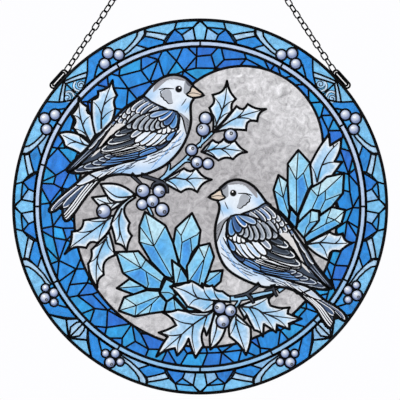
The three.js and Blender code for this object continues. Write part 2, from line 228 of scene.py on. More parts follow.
LOWER_CORNER = [
    (0, [(35.4, 1.1), (45.0, 1.05), (40.3, 0.48)]),
    (5, [(40.3, 0.48), (45.0, 1.0), (43.0, 0.58), (43.2, 0.2), (44.4, -0.1), (43.2, -0.1)]),
    (6, [(45.0, 1.0), (43.0, 0.58), (43.2, 0.2), (44.4, -0.1), (45.0, -0.1)]),
]
UPPER_BERRIES = [(189.8, 59.0, 6.1), (182.8, 61.8, 5.9), (182.5, 56.2, 6.0)]
LOWER_BERRIES = [(191.4, 0.0, 5.9), (185.8, 2.75, 4.4), (185.8, -2.75, 4.4), (180.4, 0.0, 5.2)]
LOWER_BERRY_ANGLES = (210.5, 240, 300, 330.5)

# The angles of two mirrored berries in a quarter of the border add up to this.
MIRRORED_ANGLES = 88.5

# Eighths of the border: the axis, the way round, and the angles of the berries and the corner.
UPPER_EIGHTHS = [(90, -1, 31.0, 47.6), (90, 1, 31.0, 47.6), (0, 1, 29.5, 42.4), (180, -1, 29.5, 42.4)]
LOWER_EIGHTHS = [(270, -1, 30.0, 45.0), (270, 1, 30.0, 45.0), (0, -1, 29.5, 45.0), (180, 1, 29.5, 45.0)]
AXIS_PETAL = [(0, 1.02), (1.3, 0.84), (2.2, 0.69), (1.9, 0.35), (1.4, -0.1)]

# The curls of the upper corners: a stem by angle and radius, and on each side of it a coil, by
# angle, radius, size and way round.
CURL_ANGLES = (42.4, 137.6)
CURL_STEM = ((2.7, 187.8), (1.3, 185.8), (0.75, 182), (1.3, 177.6))
CURL_COILS = ((3.1, 182.4, 4.9, 1), (-3.1, 181.0, 4.7, -1))


def border_point(turn, height, start, way, berry_turn, corner_turn):
    """Angles up to the berries and from there to the corner are stretched to their places."""
    if turn <= BERRY_TURN:
        angle = turn * berry_turn / BERRY_TURN
    else:
        angle = berry_turn + (turn - BERRY_TURN) * (corner_turn - berry_turn) / (45 - BERRY_TURN)
    radius = BAND_OUTER + height * (RIM_INNER - BAND_OUTER)
    return polar(radius, start + way * angle)


def border_outline(corners, *eighth):
    """An outline whose long sides bend with the ring."""
    outline = []
    for (turn, height), (to_turn, to_height) in zip(corners, corners[1:] + corners[:1]):
        count = max(1, round(abs(to_turn - turn) / 2.2))
        for i in range(count):
            share = i / count
            turn_here = turn + (to_turn - turn) * share
            height_here = height + (to_height - height) * share
            outline.append(border_point(turn_here, height_here, *eighth))
    return outline


def draw_border():
    """The ornament of the border, with a petal on each axis and curls in the upper corners."""
    cut(ring((0, 0), GLASS_RADIUS, 180), "border", "border", RING_LINE, TILE_LINE, 2)
    for eighths, corner in ((UPPER_EIGHTHS, UPPER_CORNER), (LOWER_EIGHTHS, LOWER_CORNER)):
        for eighth in eighths:
            for tone, corners in BORDER_PIECES + corner:
                cut(border_outline(corners, *eighth), "border", "border", RING_LINE, TILE_LINE, tone)
    for start in (0, 90, 180, 270):
        half = [border_point(t, h, start, 1, 30, 45) for t, h in AXIS_PETAL]
        other = [border_point(t, h, start, -1, 30, 45) for t, h in AXIS_PETAL[1:]]
        cut(half + other[::-1], "border", "border", RING_LINE, TILE_LINE, 0)
    for angle in CURL_ANGLES:
        for turn, radius, size, way in CURL_COILS:
            stem = [polar(r, angle + way * t) for t, r in CURL_STEM]
            stem = smooth(stem, 3, closed=False)
            paint(ribbon(stem, 3.4), "border", BLACK)
            draw_spiral(polar(radius, angle + turn), size, angle + 90, way)
            paint(ribbon(stem, 1.7), "border", "#cfe6fa")


def draw_spiral(centre, size, phase, way):
    """A coil of painted line with a pale inside."""
    paint(ring(centre, size, 24), "border", "#a7d4f8")
    line = []
    for i in range(27):
        share = i / 26
        x, y = polar(size * (0.2 + 0.8 * share), phase + way * 560 * share)
        line.append((centre[0] + x, centre[1] + y))
    paint(ribbon(line, 1.1), "border", BLACK)


def draw_border_berries():
    """Three nuggets in each upper group of the border and four in each lower one."""
    for base, way in ((0, 1), (180, -1)):
        for radius, angle, size in UPPER_BERRIES:
            for place in (angle, MIRRORED_ANGLES - angle):
                add_nugget(polar(radius, base + way * place), size)
    for angle in LOWER_BERRY_ANGLES:
        for radius, turn, size in LOWER_BERRIES:
            calyx = (0.3, -0.35) if turn == 0 and radius > 190 else None
            add_nugget(polar(radius, angle + turn), size, calyx)


def add_nugget(centre, radius, calyx=None):
    """A nugget, with its dark calyx at a place in radii from its centre."""
    nuggets.append((centre, radius - 0.5, calyx))
    cut(ring(centre, radius, 24), "nugget", f"nugget_{len(nuggets)}", NUGGET_LINE, NUGGET_LINE)


# The band and the mosaic.

BAND_CUTS = [0, 29.8, 60.0, 90, 120.3, 137.9, 149.8, 165.2, 180, 207.5, 225, 240, 270, 296, 315, 333.1]


def draw_band():
    """The narrow pale ring, in strips."""
    for low, high in zip(BAND_CUTS, BAND_CUTS[1:] + [360]):
        count = max(2, round((high - low) / 3))
        angles = [low + (high - low) * i / count for i in range(count + 1)]
        outer = [polar(BAND_OUTER, a) for a in angles]
        inner = [polar(BAND_INNER, a) for a in angles]
        cut(outer + inner[::-1], "band", "band", RING_LINE, BAND_LINE)


MOSAIC_COLOURS = ["#2490e2", "#2a82de", "#26a0e0", "#2a93e6", "#2a78dc", "#30a6e8", "#2b8ae4"]
MOSAIC_ROWS = ((160, 50), (145, 44), (129, 36), (111, 28), (90, 18))
EDGE_POINTS = 52

# Discs of sky: the middle and the radius.
MOON = ((45.6, 64.3), 85.0)
LOW_SKY = ((5.7, -9.9), 139.7)


def draw_mosaic():
    """Shards between random points, some joined in pairs into pieces with four sides."""
    cut(ring((0, 0), BAND_OUTER, 180), "mosaic", "mosaic", RING_LINE, TILE_LINE)
    points = []
    for i in range(EDGE_POINTS):
        angle = 360 * (i + rng.uniform(-0.25, 0.25)) / EDGE_POINTS
        points.append(polar(BAND_INNER + 3, angle))
    for radius, count in MOSAIC_ROWS:
        for i in range(count):
            angle = 360 * (i + rng.uniform(-0.33, 0.33)) / count
            points.append(polar(radius + rng.uniform(-4.5, 4.5), angle))
    points = [
        p
        for p in points
        if math.dist(p, MOON[0]) >= MOON[1] - 12 and math.dist(p, LOW_SKY[0]) >= LOW_SKY[1] - 40
    ]
    result = delaunay_2d_cdt([Vector(p) for p in points], [], [], 0, 1e-4, False)
    corners, faces = result[0], [tuple(f) for f in result[2]]
    by_edge = {}
    for index, face in enumerate(faces):
        for a, b in zip(face, face[1:] + face[:1]):
            by_edge.setdefault(tuple(sorted((a, b))), []).append(index)
    order = sorted(by_edge, key=lambda e: -(corners[e[0]] - corners[e[1]]).length)
    joined = set()
    shards = []
    for edge in order:
        pair = by_edge[edge]
        if len(pair) == 2 and not joined & set(pair) and rng.random() < 0.5:
            loop = list(faces[pair[0]])
            apex = next(v for v in faces[pair[1]] if v not in edge)
            place = next(i for i in range(3) if {loop[i], loop[(i + 1) % 3]} == set(edge))
            loop.insert(place + 1, apex)
            shards.append(loop)
            joined |= set(pair)
    shards += [list(face) for i, face in enumerate(faces) if i not in joined]
    for shard in shards:
        outline = [tuple(corners[i]) for i in shard]
        tone = rng.randrange(len(MOSAIC_COLOURS))
        cut(outline, "mosaic", "mosaic", RING_LINE, TILE_LINE, tone)


def draw_sky():
    """The moon, and the sky below both birds."""
    for centre, radius in (MOON, LOW_SKY):
        cut(ring(centre, radius, 120), "sky", "sky", FIGURE_LINE, 0.0)


# Leaves, twigs and crystals.

# A leaf is a row of corners, each with the bow of the edge that leaves it, as a share of that
# edge's length: hollow below zero, full above. Then come the points of its midrib, stem first.
# Most of these points were read off the photograph and turned into grid places by a converter.
LEAVES = {
    "far_right_top": (
        [(329, 134, 0), (330, 145.5, 0), (341, 138.5, 0.09), (334.5, 161.5, 0), (342, 162, 0),
         (327, 183, 0), (316, 190, 0), (308.5, 184, 0), (310.5, 163.5, 0.03)],
        [(317, 182.5), (321, 167.5), (328, 154), (338, 143)],
    ),
    "far_right_low": (
        [(329.5, 232, -0.16), (342.5, 233.5, -0.2), (352, 243, -0.05), (340, 251.3, -0.36),
         (328.7, 260.5, 0.06), (305.4, 244.5, 0.02)],
        [(307, 244.3), (321.5, 242.6), (335, 243.6), (347, 243.2)],
    ),
    "left_low": (
        [(58.2, 133.6, 0.1), (78.8, 134.3, 0), (90, 143.2, 0), (92, 150, -0.13), (81.5, 154.4, -0.03),
         (65, 146.6, -0.08)],
        [(90, 146.5), (76.4, 142), (63, 135.4)],
    ),
    "left_middle": (
        [(78.7, 97.8, -0.1), (87.8, 106.8, -0.28), (91.2, 114.6, 0), (95.4, 135, 0), (90.7, 142.4, -0.1),
         (77.8, 134.2, -0.05), (72.4, 127.6, -0.27), (71.7, 114.6, -0.12)],
        [(89.6, 141.1), (83.6, 127.7), (79.8, 113.4), (79.2, 102.5)],
    ),
    "left_top": (
        [(112.6, 80.3, -0.07), (117, 95.3, -0.16), (115.4, 108.3, 0.07), (106.3, 130.8, 0),
         (95.4, 135, 0.05), (92.1, 99.6, -0.3), (98.1, 91.4, -0.15)],
        [(101.5, 129), (101.6, 115), (105.4, 100), (111.3, 84)],
    ),
    "branch_top": (
        [(227, 80.8, -0.09), (235.8, 99, -0.17), (231.7, 110.9, 0.02), (214, 131, 0), (212.7, 132.4, -0.09),
         (209.4, 107.8, -0.23), (212.6, 94.9, -0.2)],
        [(215, 128), (220.4, 115.2), (224.7, 101.8), (226.9, 86)],
    ),
    "branch_right": (
        [(213.4, 132.4, -0.02), (236.5, 106.3, -0.36), (247.7, 104.2, -0.1), (266.1, 109.1, -0.18),
         (257.2, 121.2, -0.36), (246, 130.3, -0.05)],
        [(216.5, 130.5), (229, 121.9), (241.9, 115.9), (262, 110)],
    ),
    "middle_right": (
        [(201.3, 151.8, 0.03), (212.7, 140.1, -0.3), (223.7, 138.9, -0.28), (234.7, 140.5, -0.07),
         (247, 152.2, -0.12), (233.2, 159.1, -0.14), (218.6, 160.4, -0.04)],
        [(204, 151.8), (215.3, 149), (226, 149), (243, 151.4)],
    ),
    "perch": (
        [(161.8, 181, 0), (184, 168.4, -0.26), (196.3, 168, -0.13), (211.7, 179.6, -0.13),
         (197.3, 192, -0.2), (181, 192.2, 0.02)],
        [(164.8, 181.4), (174.4, 178), (185.8, 179.5), (195.4, 178.1), (208, 179.5)],
    ),
    "plain_low": (
        [(92, 197.4, 0), (106, 195.8, 0), (127.8, 198.2, 0.03), (108.2, 212.1, 0.05)],
        [(123.5, 200.5), (109, 203.5), (97, 199)],
    ),
    "plain_top": (
        [(135.9, 195.2, 0.13), (100.6, 184, 0.34)],
        [(132.6, 196.4), (116.8, 196.8), (103.4, 187)],
    ),
    "low_left_down": (
        [(97.4, 287.7, 0.08), (88.2, 263.8, -0.12), (91.5, 249.9, 0), (109.1, 232.1, 0.02),
         (115, 255.1, -0.24), (103.8, 274.6, -0.18)],
        [(107.2, 236.4), (99.5, 252), (96.5, 266), (96.4, 283)],
    ),
    "low_left_out": (
        [(64.8, 254.1, -0.09), (72, 231.6, -0.25), (83.7, 220.3, 0), (112.3, 215.8, 0), (114.2, 216.7, 0.1),
         (97.5, 242.9, -0.28), (86.4, 247.8, -0.16)],
        [(110.9, 217.5), (93.1, 230.5), (68, 249)],
    ),
    "low_left_stalk": (
        [(126.8, 252, -0.07), (131.9, 235.8, -0.2), (129.8, 222.9, -0.33), (135.5, 197.6, 0),
         (133, 195.6, 0.11), (111, 224.5, -0.02), (115.8, 243.3, -0.17)],
        [(122, 208), (118.9, 220), (120.5, 233), (125.6, 248)],
    ),
    "bottom_short": (
        [(215, 312.9, 0.07), (210.3, 349.5, 0.1), (225.6, 328.1, 0), (225.9, 321.1, 0)],
        [(217, 318), (216.2, 330), (211.6, 344)],
    ),
    "bottom_down": (
        [(246, 354.9, -0.06), (229.6, 336.4, 0.14), (235.3, 313.7, 0.02), (250.5, 327.5, 0.08)],
        [(235.6, 316), (237.5, 328.4), (245.2, 351)],
    ),
    "bottom_large": (
        [(162.4, 312.3, -0.05), (177.9, 309.6, -0.06), (214.5, 310.5, 0.04), (206.4, 335.4, 0),
         (204, 327.8, -0.12), (203.4, 345.5, 0), (195.5, 357.7, -0.03), (188.6, 338.5, 0.06),
         (177.1, 355.5, 0), (174.7, 348.2, -0.08), (156.4, 356.6, 0.04), (167.6, 336.8, 0),
         (158.6, 332.5, -0.04), (176, 325.1, 0.1)],
        [(212.3, 311.9), (193.4, 324.3), (176, 339.5), (159, 354)],
    ),
    "bottom_left": (
        [(169.9, 286.3, -0.06), (185, 283, -0.1), (191.6, 281, 0.04), (203, 288, 0), (201.8, 283, -0.2),
         (212.3, 285.3, -0.2), (222.4, 291.2, 0), (230.2, 297, 0), (230.2, 302.1, -0.02), (214, 301, 0),
         (213.1, 309.7, 0.08), (202, 312.4, -0.05), (187.4, 306.7, -0.04)],
        [(220, 301), (199.9, 298.3), (184.7, 290.7), (173, 286.8)],
    ),
    "bottom_right": (
        [(238, 306.6, 0.02), (273.2, 294.8, 0.3), (270.5, 305.5, -0.08), (289.8, 307.3, -0.1),
         (287.6, 313.5, 0), (301.5, 318.7, 0), (289, 323.6, 0), (289.5, 329.3, 0), (277, 324.8, 0),
         (276.2, 332.3, 0), (263.8, 324, 0), (262.9, 336.4, -0.15), (254.3, 330.1, 0), (246.4, 315.1, 0),
         (244.9, 318.9, 0)],
        [(238.6, 306.4), (254.8, 308.3), (268.4, 314.8), (298, 319)],
    ),
}
BEHIND_CRYSTALS = ["far_right_top", "far_right_low"]


def draw_leaf(name):
    """A leaf with hollow edges, its midrib, and a curved vein towards each spike."""
    corners, rib = LEAVES[name]
    group = "leaf_" + name
    places = [np.array(at(x, y)) for x, y, _ in corners]
    middle = np.mean(places, axis=0)
    outline = []
    for here, there, (_, _, bow) in zip(places, places[1:] + places[:1], corners):
        way = there - here
        out = np.array([way[1], -way[0]])
        if out @ ((here + there) / 2 - middle) < 0:
            out = -out
        count = max(1, round(np.linalg.norm(way) / 3)) if bow else 1
        for i in range(count):
            share = i / count
            outline.append(tuple(here + way * share + out * bow * math.sin(math.pi * share)))
    midrib = [np.array(p) for p in smooth([at(*p) for p in rib], 6, closed=False)]
    start, along = midrib[0], midrib[-1] - midrib[0]
    cut(outline, "leaf", group, 2.6, 0, 0, start=start, along=along)
    count = len(midrib)
    paint(ribbon(midrib, [2.4 - 1.5 * i / count for i in range(count)]), group, VEIN)
    length = np.linalg.norm(along)
    for i, spike in enumerate(places):
        before, after = places[i - 1], places[(i + 1) % len(places)]
        if np.linalg.norm(spike - middle) < max(np.linalg.norm((before + after) / 2 - middle), 1):
            continue
        run = (spike - start) @ along / length**2
        if run < 0.16 or np.linalg.norm(spike - midrib[-1]) < 0.2 * length:
            continue
        root = midrib[min(count - 1, int(max(0.04, run - 0.26) * count))]
        knee = root + (spike - root) * 0.5 + (midrib[min(count - 1, int(run * count))] - spike) * 0.14
        end = root + (spike - root) * 0.86
        vein = smooth([tuple(root), tuple(knee), tuple(end)], 5, closed=False)
        paint(ribbon(vein, [1.9 - 1.3 * k / len(vein) for k in range(len(vein))]), group, VEIN)


# A crystal has its corners by letter, and its facets as letters with a tone from pale to deep.
# Most of the corners were read and turned into grid places as the leaves' points were.
LEFT_CRYSTALS = [
    (dict(a=(145, 211.7), b=(165.6, 225.6), c=(154, 246), d=(139.5, 226), e=(139.3, 242), f=(173, 279),
          g=(165, 276.5), h=(151, 261.5), i=(173.3, 243), j=(178.5, 262.4)),
     dict(abc=0.08, acd=0.45, dce=0.2, ecfgh=0.8, cbijf=0.52)),
    (dict(a=(192, 213), b=(181, 235.6), c=(175.7, 228), d=(200.5, 230.4), e=(197.2, 234.7), f=(182, 242.5),
          g=(179.5, 264.3), h=(173.3, 243), i=(190.5, 238), j=(192, 253), k=(186, 272), l=(198.6, 245)),
     dict(abc=0.12, adeifb=0.2, cbfgh=0.45, fijkg=0.85, iedlj=0.42)),
    (dict(a=(116, 252), b=(133, 251.5), c=(138.4, 251), d=(146, 259.5), e=(141, 268), f=(165, 276.3),
          g=(162, 282), h=(123, 273), i=(146, 271.5), j=(148.4, 284), k=(147, 288.7), l=(133.6, 280.6),
          m=(160.4, 289.2)),
     dict(abe=0.1, bcde=0.2, dfgie=0.34, aeh=0.42, heijkl=0.82, igmkj=0.7)),
    (dict(a=(116.8, 288.2), b=(129.7, 278.7), c=(143, 286), d=(147, 289.4), e=(133.6, 294.4)),
     dict(abc=0.12, acde=0.62)),
    (dict(a=(118.7, 310.7), b=(124, 297.3), c=(147, 290), d=(159.4, 291), e=(160.4, 295.4), f=(136.4, 305.4),
          g=(135, 316.5), h=(152.2, 303.5), i=(149, 313.6), j=(166.6, 301.6), k=(164.2, 311.4)),
     dict(abf=0.06, bcdef=0.24, afg=0.48, fehg=0.62, hig=0.22, ejkih=0.66)),
    (dict(a=(166, 278.7), b=(174.7, 283), c=(171.8, 286.3), d=(176.6, 296), e=(169, 292.5), f=(159.4, 292.5),
          g=(167, 301.6)),
     dict(abcdef=0.34, fedg=0.5)),
    (dict(a=(166.6, 301.6), b=(173.6, 297.3), c=(175.7, 311.4), d=(164.2, 311.7), e=(186.2, 311)),
     dict(abcd=0.5, bec=0.34)),
    (dict(a=(174.2, 296), b=(177.6, 294), c=(190, 301.6), d=(200.5, 311), e=(188, 311)), dict(abcde=0.5)),
    (dict(a=(171.8, 260), b=(181, 267.2), c=(176.6, 284), d=(174.2, 284), e=(190, 282)),
     dict(abcd=0.16, bec=0.55)),
    (dict(a=(209.6, 243.3), b=(204.4, 258.6), c=(198.6, 246), d=(191.5, 277.7), e=(188, 282.5),
          f=(186.7, 266.2), g=(198.6, 285.4), h=(214, 256.7), i=(204.4, 285.4)),
     dict(abc=0.1, cbdef=0.3, bged=0.88, ahigb=0.48)),
    (dict(a=(222.7, 270), b=(209, 272), c=(204.4, 284), d=(220.6, 281.5), e=(213, 288.2)),
     dict(abc=0.2, adec=0.62)),
]
RIGHT_CRYSTALS = [
    (dict(a=(278.4, 175), b=(283.3, 197.7), c=(273.5, 190), d=(287.5, 181.4), e=(286.2, 185.3),
          f=(289, 215.2), g=(288.8, 220.4), h=(278.4, 210), i=(289.5, 207.4)),
     dict(abc=0.35, adeb=0.1, cbfgh=0.5, edifb=0.65)),
    (dict(a=(298.2, 150), b=(287.8, 163.5), c=(296.3, 180), d=(309.6, 162.6), e=(303.4, 173),
          f=(296.6, 214), g=(288.8, 204.8), h=(287.5, 182.7), i=(308, 190), j=(297.6, 215.2),
          k=(311, 172.3), l=(312.2, 184.7)),
     dict(abc=0.05, adec=0.32, bcfgh=0.28, ceijf=0.85, edkli=0.42)),
    (dict(a=(290.4, 208), b=(297.6, 216), c=(296, 229), d=(288.8, 220.4)), dict(abcd=0.7)),
    (dict(a=(310.3, 188), b=(321.3, 182), c=(317.7, 196.4), d=(326.5, 177), e=(344, 173), f=(325.5, 190.5),
          g=(342.8, 193.3), h=(325, 200.3), i=(311.6, 209.7), j=(297.6, 223), k=(298.6, 215.2),
          l=(319.7, 211), m=(331.7, 206.8), n=(320, 215)),
     dict(abc=0.12, bdefc=0.03, eghf=0.45, acijk=0.36, cfhli=0.6, hgmnl=0.52)),
    (dict(a=(331.6, 207), b=(345.4, 210), c=(334.7, 219.8), d=(327.5, 217.2), e=(341.2, 224.2),
          f=(325.5, 224), g=(319.4, 216), h=(310.3, 232.5), i=(304, 237.7), j=(304.4, 234.7),
          k=(305.7, 243)),
     dict(abcd=0.12, bec=0.05, dcf=0.35, gadfhij=0.3, cekihf=0.68)),
    (dict(a=(311, 210), b=(319, 211.7), c=(319, 220.4), d=(309.6, 222.7), e=(306.4, 227.6), f=(303.8, 238),
          g=(296, 229), h=(297.6, 223)),
     dict(abcd=0.14, adefgh=0.48, dcfe=0.6)),
]


def draw_crystals(cluster, name):
    """A cluster of crystals, each cut into facets that deepen a little towards its middle."""
    for number, (corners, facets) in enumerate(cluster):
        heart = np.mean([at(*p) for p in corners.values()], axis=0)
        for letters, tone in facets.items():
            outline = [at(*corners[letter]) for letter in letters]
            cut(outline, "crystal", f"{name}_{number}", FIGURE_LINE, FACET_LINE, tone, heart=heart)


TWIGS = [
    ([(153, 188), (160, 180.5), (172, 171), (185, 160), (196, 148), (206, 139), (215, 130)], 4.4),
    ([(199.5, 147), (202, 141), (202.6, 135)], 3.0),
    ([(165.5, 175), (168.6, 169.5), (169.4, 163.5)], 3.0),
    ([(181, 163), (187, 161), (193, 162)], 2.6),
    ([(147, 205), (152.5, 216)], 3.6),
    ([(208, 296), (222, 297.5), (236, 298.5), (251, 296.5), (262, 294), (273, 291.6)], 5.4),
    ([(240, 300), (236, 306), (230, 311)], 3.4),
    ([(278, 291), (286.5, 285.5)], 4.6),
]
FEET = [
    ([(131.6, 175), (141.8, 184.4)], 3.4),
    ([(141.8, 175.5), (152, 178.6), (161.5, 182), (166.5, 186), (167.6, 193)], 3.6),
    ([(161, 182), (154, 184), (151.5, 189)], 3.4),
    ([(259, 284.5), (247, 293.5), (234.5, 296.4)], 3.4),
    ([(246.4, 293.6), (251, 298), (253.6, 303)], 3.6),
    ([(273, 285.5), (274.2, 291), (276.8, 296.2)], 3.4),
    ([(274, 288.6), (264.7, 290.8)], 2.8),
]
INNER_BERRIES = [
    (205.5, 118.4, 6.6, None), (203.2, 129.8, 7.1, (-0.35, 0.4)), (230.6, 135.2, 6.9, (0.1, 0.3)),
    (191.7, 150.1, 6.3, (0.2, 0.3)), (196.9, 162.5, 6.3, (0.1, -0.35)), (208, 163.8, 6.0, None),
    (143, 190.9, 7.4, (-0.45, 0.05)), (159.2, 191.2, 6.8, (0.5, -0.2)), (142.3, 204.3, 6.0, None),
    (152.5, 201.1, 6.9, (0.0, -0.5)), (162.1, 209.7, 7.2, (0.4, -0.35)), (103.9, 211.3, 7.6, (-0.6, -0.1)),
    (219.9, 307.8, 6.8, (-0.5, 0.1)), (230.4, 310.7, 6.5, (0.35, -0.2)), (223, 321.2, 7.4, (0.1, -0.5)),
]


def draw_strips(strips, glass, group, outer):
    """Curved strips, each a run of points with a width, tapered towards the end."""
    for points, width in strips:
        line = smooth([at(*p) for p in points], 3, closed=False)
        widths = [width * (1 - 0.35 * (i / (len(line) - 1)) ** 3) for i in range(len(line))]
        cut(ribbon(line, widths), glass, group, outer, 0)


# The birds, in sketch coordinates: x to the right and y down, with the bird facing right. Both
# birds share these outlines, which follow the photograph's upper bird.

SKETCH_UNIT = 1.0853
EYE = (126.0, 23.8)
BIRDS = {
    "upper": dict(eye=(-22.8, 124.8), scale=1.0, turn=0.0, facing=1, full=0.0, droop=0.0),
    "lower": dict(eye=(35.2, 14.2), scale=0.957, turn=-4.9, facing=-1, full=8.0, droop=8.0),
}
BODY = [(140.3, 21.5), (138.3, 18.0), (132.5, 12.8), (124, 9.8), (115, 10.6), (106, 15), (98.5, 22),
        (91.5, 30), (86, 34.5), (90, 50), (80, 80), (50, 95), (36, 104), (50, 112.5), (56, 109.5),
        (68, 107.2), (79, 108.2), (86, 108.8), (97, 106), (110, 100), (120.5, 91.5), (129.5, 80),
        (135.3, 67.5), (138, 56), (137.6, 44), (138.2, 37.5), (141, 32.3), (137.5, 29.5)]
BACK = [(92.5, 31), (86, 34.3), (78.5, 38.5), (70.8, 44.2), (62, 54), (52, 64.3), (44, 72.5),
        (36.5, 81.5), (27, 90.5), (17.5, 100.5), (16.2, 103.4), (20.5, 104), (35, 93), (43, 86),
        (52, 79), (60, 70), (70, 62), (78, 57), (90, 49), (105, 45), (115, 44), (108, 40.5),
        (99, 36)]
WING = [(124.5, 46), (127, 53), (125, 62), (121, 70.5), (114, 79), (104, 85), (90, 90), (70, 96.5),
        (45, 103.3), (30, 106.4), (19, 105.3), (26, 101), (35, 92), (43, 85), (52, 79), (60, 70),
        (70, 62), (78, 57), (90, 49), (105, 45), (115, 44)]
TAIL = [(56, 101), (40, 105), (29, 113), (22, 119), (13, 126), (4, 135), (-1, 141.5), (0.5, 144.6),
        (6, 142.6), (11.6, 139), (12.4, 147.5), (15, 153), (20, 151), (27, 141), (36, 128.5),
        (50, 112.3), (62, 104)]
BEAK = [(139.3, 20.8), (145, 24.8), (150.4, 29.9), (142, 32.4), (137, 31.2), (133.6, 28.8), (137, 26)]


def sketch(bird):
    """Places sketch points of one bird on the panel."""
    cos = math.cos(math.radians(bird["turn"])) * bird["scale"] * SKETCH_UNIT
    sin = math.sin(math.radians(bird["turn"])) * bird["scale"] * SKETCH_UNIT

    def place(x, y):
        across = x - EYE[0]
        up = EYE[1] - y
        full = bird["full"] * ease(25, 75, y) * (1 - ease(85, 112, y)) * ease(60, 130, x + 0.35 * y)
        droop = bird["droop"] * ease(45, 95, y) * (1 - ease(112, 138, y))
        across = bird["facing"] * (across + 0.62 * full)
        up -= 0.42 * full + droop
        return (
            bird["eye"][0] + across * cos - up * sin,
            bird["eye"][1] + across * sin + up * cos,
        )

    return place


def petal(base, tip, half_width):
    """The outline of a feather, with a round tip."""
    base = np.array(base, dtype=float)
    along = np.array(tip, dtype=float) - base
    across = np.array([-along[1], along[0]]) / max(np.linalg.norm(along), 1e-6)
    shape = [(0.0, 0.45), (0.25, 0.85), (0.55, 1.0), (0.78, 0.93), (0.9, 0.7), (0.97, 0.4)]
    left = [base + along * run + across * side * half_width for run, side in shape]
    right = [base + along * run - across * side * half_width for run, side in shape]
    return [tuple(p) for p in left + [base + along] + right[::-1]]


# Colours that the birds' paint shares.
SLATE = "#39445a"
BACK_BLUE = "#242c3b"
EDGE_WHITE = "#f0f3f8"


class Brush:
    """Paints one bird, in sketch coordinates."""

    def __init__(self, name):
        self.place = sketch(BIRDS[name])
        self.group = name + "_bird"

    def area(self, points, steps=3):
        """A closed curve through some points, on the panel."""
        return [self.place(x, y) for x, y in smooth(points, steps)]

    def patch(self, points, colour):
        """A painted area with a smooth outline."""
        paint(self.area(points), self.group, colour)

    def spot(self, offset, radius, count, colour):
        """A painted disc near the eye."""
        disc = [self.place(EYE[0] + x, EYE[1] + y) for x, y in ring(offset, radius, count)]
        paint(disc, self.group, colour)

    def stroke(self, points, colour, width, steps=3):
        """A painted line, widest in its middle."""
        line = smooth(points, steps, closed=False) if len(points) > 2 else points
        count = len(line)
        widths = [width * (0.35 + 0.65 * math.sin(math.pi * (i + 0.5) / count)) for i in range(count)]
        paint(ribbon([self.place(x, y) for x, y in line], widths), self.group, colour)

    def feather(self, base, tip, half_width, fill, edge, rim=0.7):
        """A feather with a black line around it, an edge and a fill."""
        base, tip = np.array(base, dtype=float), np.array(tip, dtype=float)
        way = (tip - base) / np.linalg.norm(tip - base)
        outer = rim + 0.8
        inner = max(half_width * 0.62, half_width - 1.0)
        layers = (
            (tip + way * outer, half_width + outer, BLACK),
            (tip, half_width, edge),
            (tip - way * 1.1, inner, fill),
        )
        for end, half, colour in layers:
            paint([self.place(*p) for p in petal(base, end, half)], self.group, colour)


def paint_tail(brush):
    """Two fans of feathers with white edges."""
    brush.feather((38, 112), (1.0, 143.0), 3.6, "#66718a", EDGE_WHITE)
    brush.feather((41, 112), (3.5, 143.2), 1.2, "#2c3548", "#dfe5ee", rim=0.4)
    brush.feather((46, 110.5), (12.2, 139.8), 3.8, "#415473", EDGE_WHITE)
    brush.feather((50, 110.5), (14.0, 149.0), 3.4, "#35609c", EDGE_WHITE)
    stripes = (
        (4.0, BLACK, 8.6),
        (1.9, EDGE_WHITE, 1.5),
        (4.2, EDGE_WHITE, 1.3),
        (6.4, EDGE_WHITE, 1.3),
    )
    for inset, colour, width in stripes:
        edge = ((55, 110), (50, 112.5), (36, 128.5), (27, 141), (18.5, 151), (15.5, 152.5))
        brush.stroke([(x - 0.76 * inset, y - 0.65 * inset) for x, y in edge], colour, width)
    for tip, half in (((40.6, 112.4), 2.6), ((34, 114.6), 2.8), ((25.8, 116.8), 3.0)):
        base = (tip[0] + 25, tip[1] - 12)
        brush.feather(base, tip, half, "#c9d6e6", EDGE_WHITE, rim=0.9)


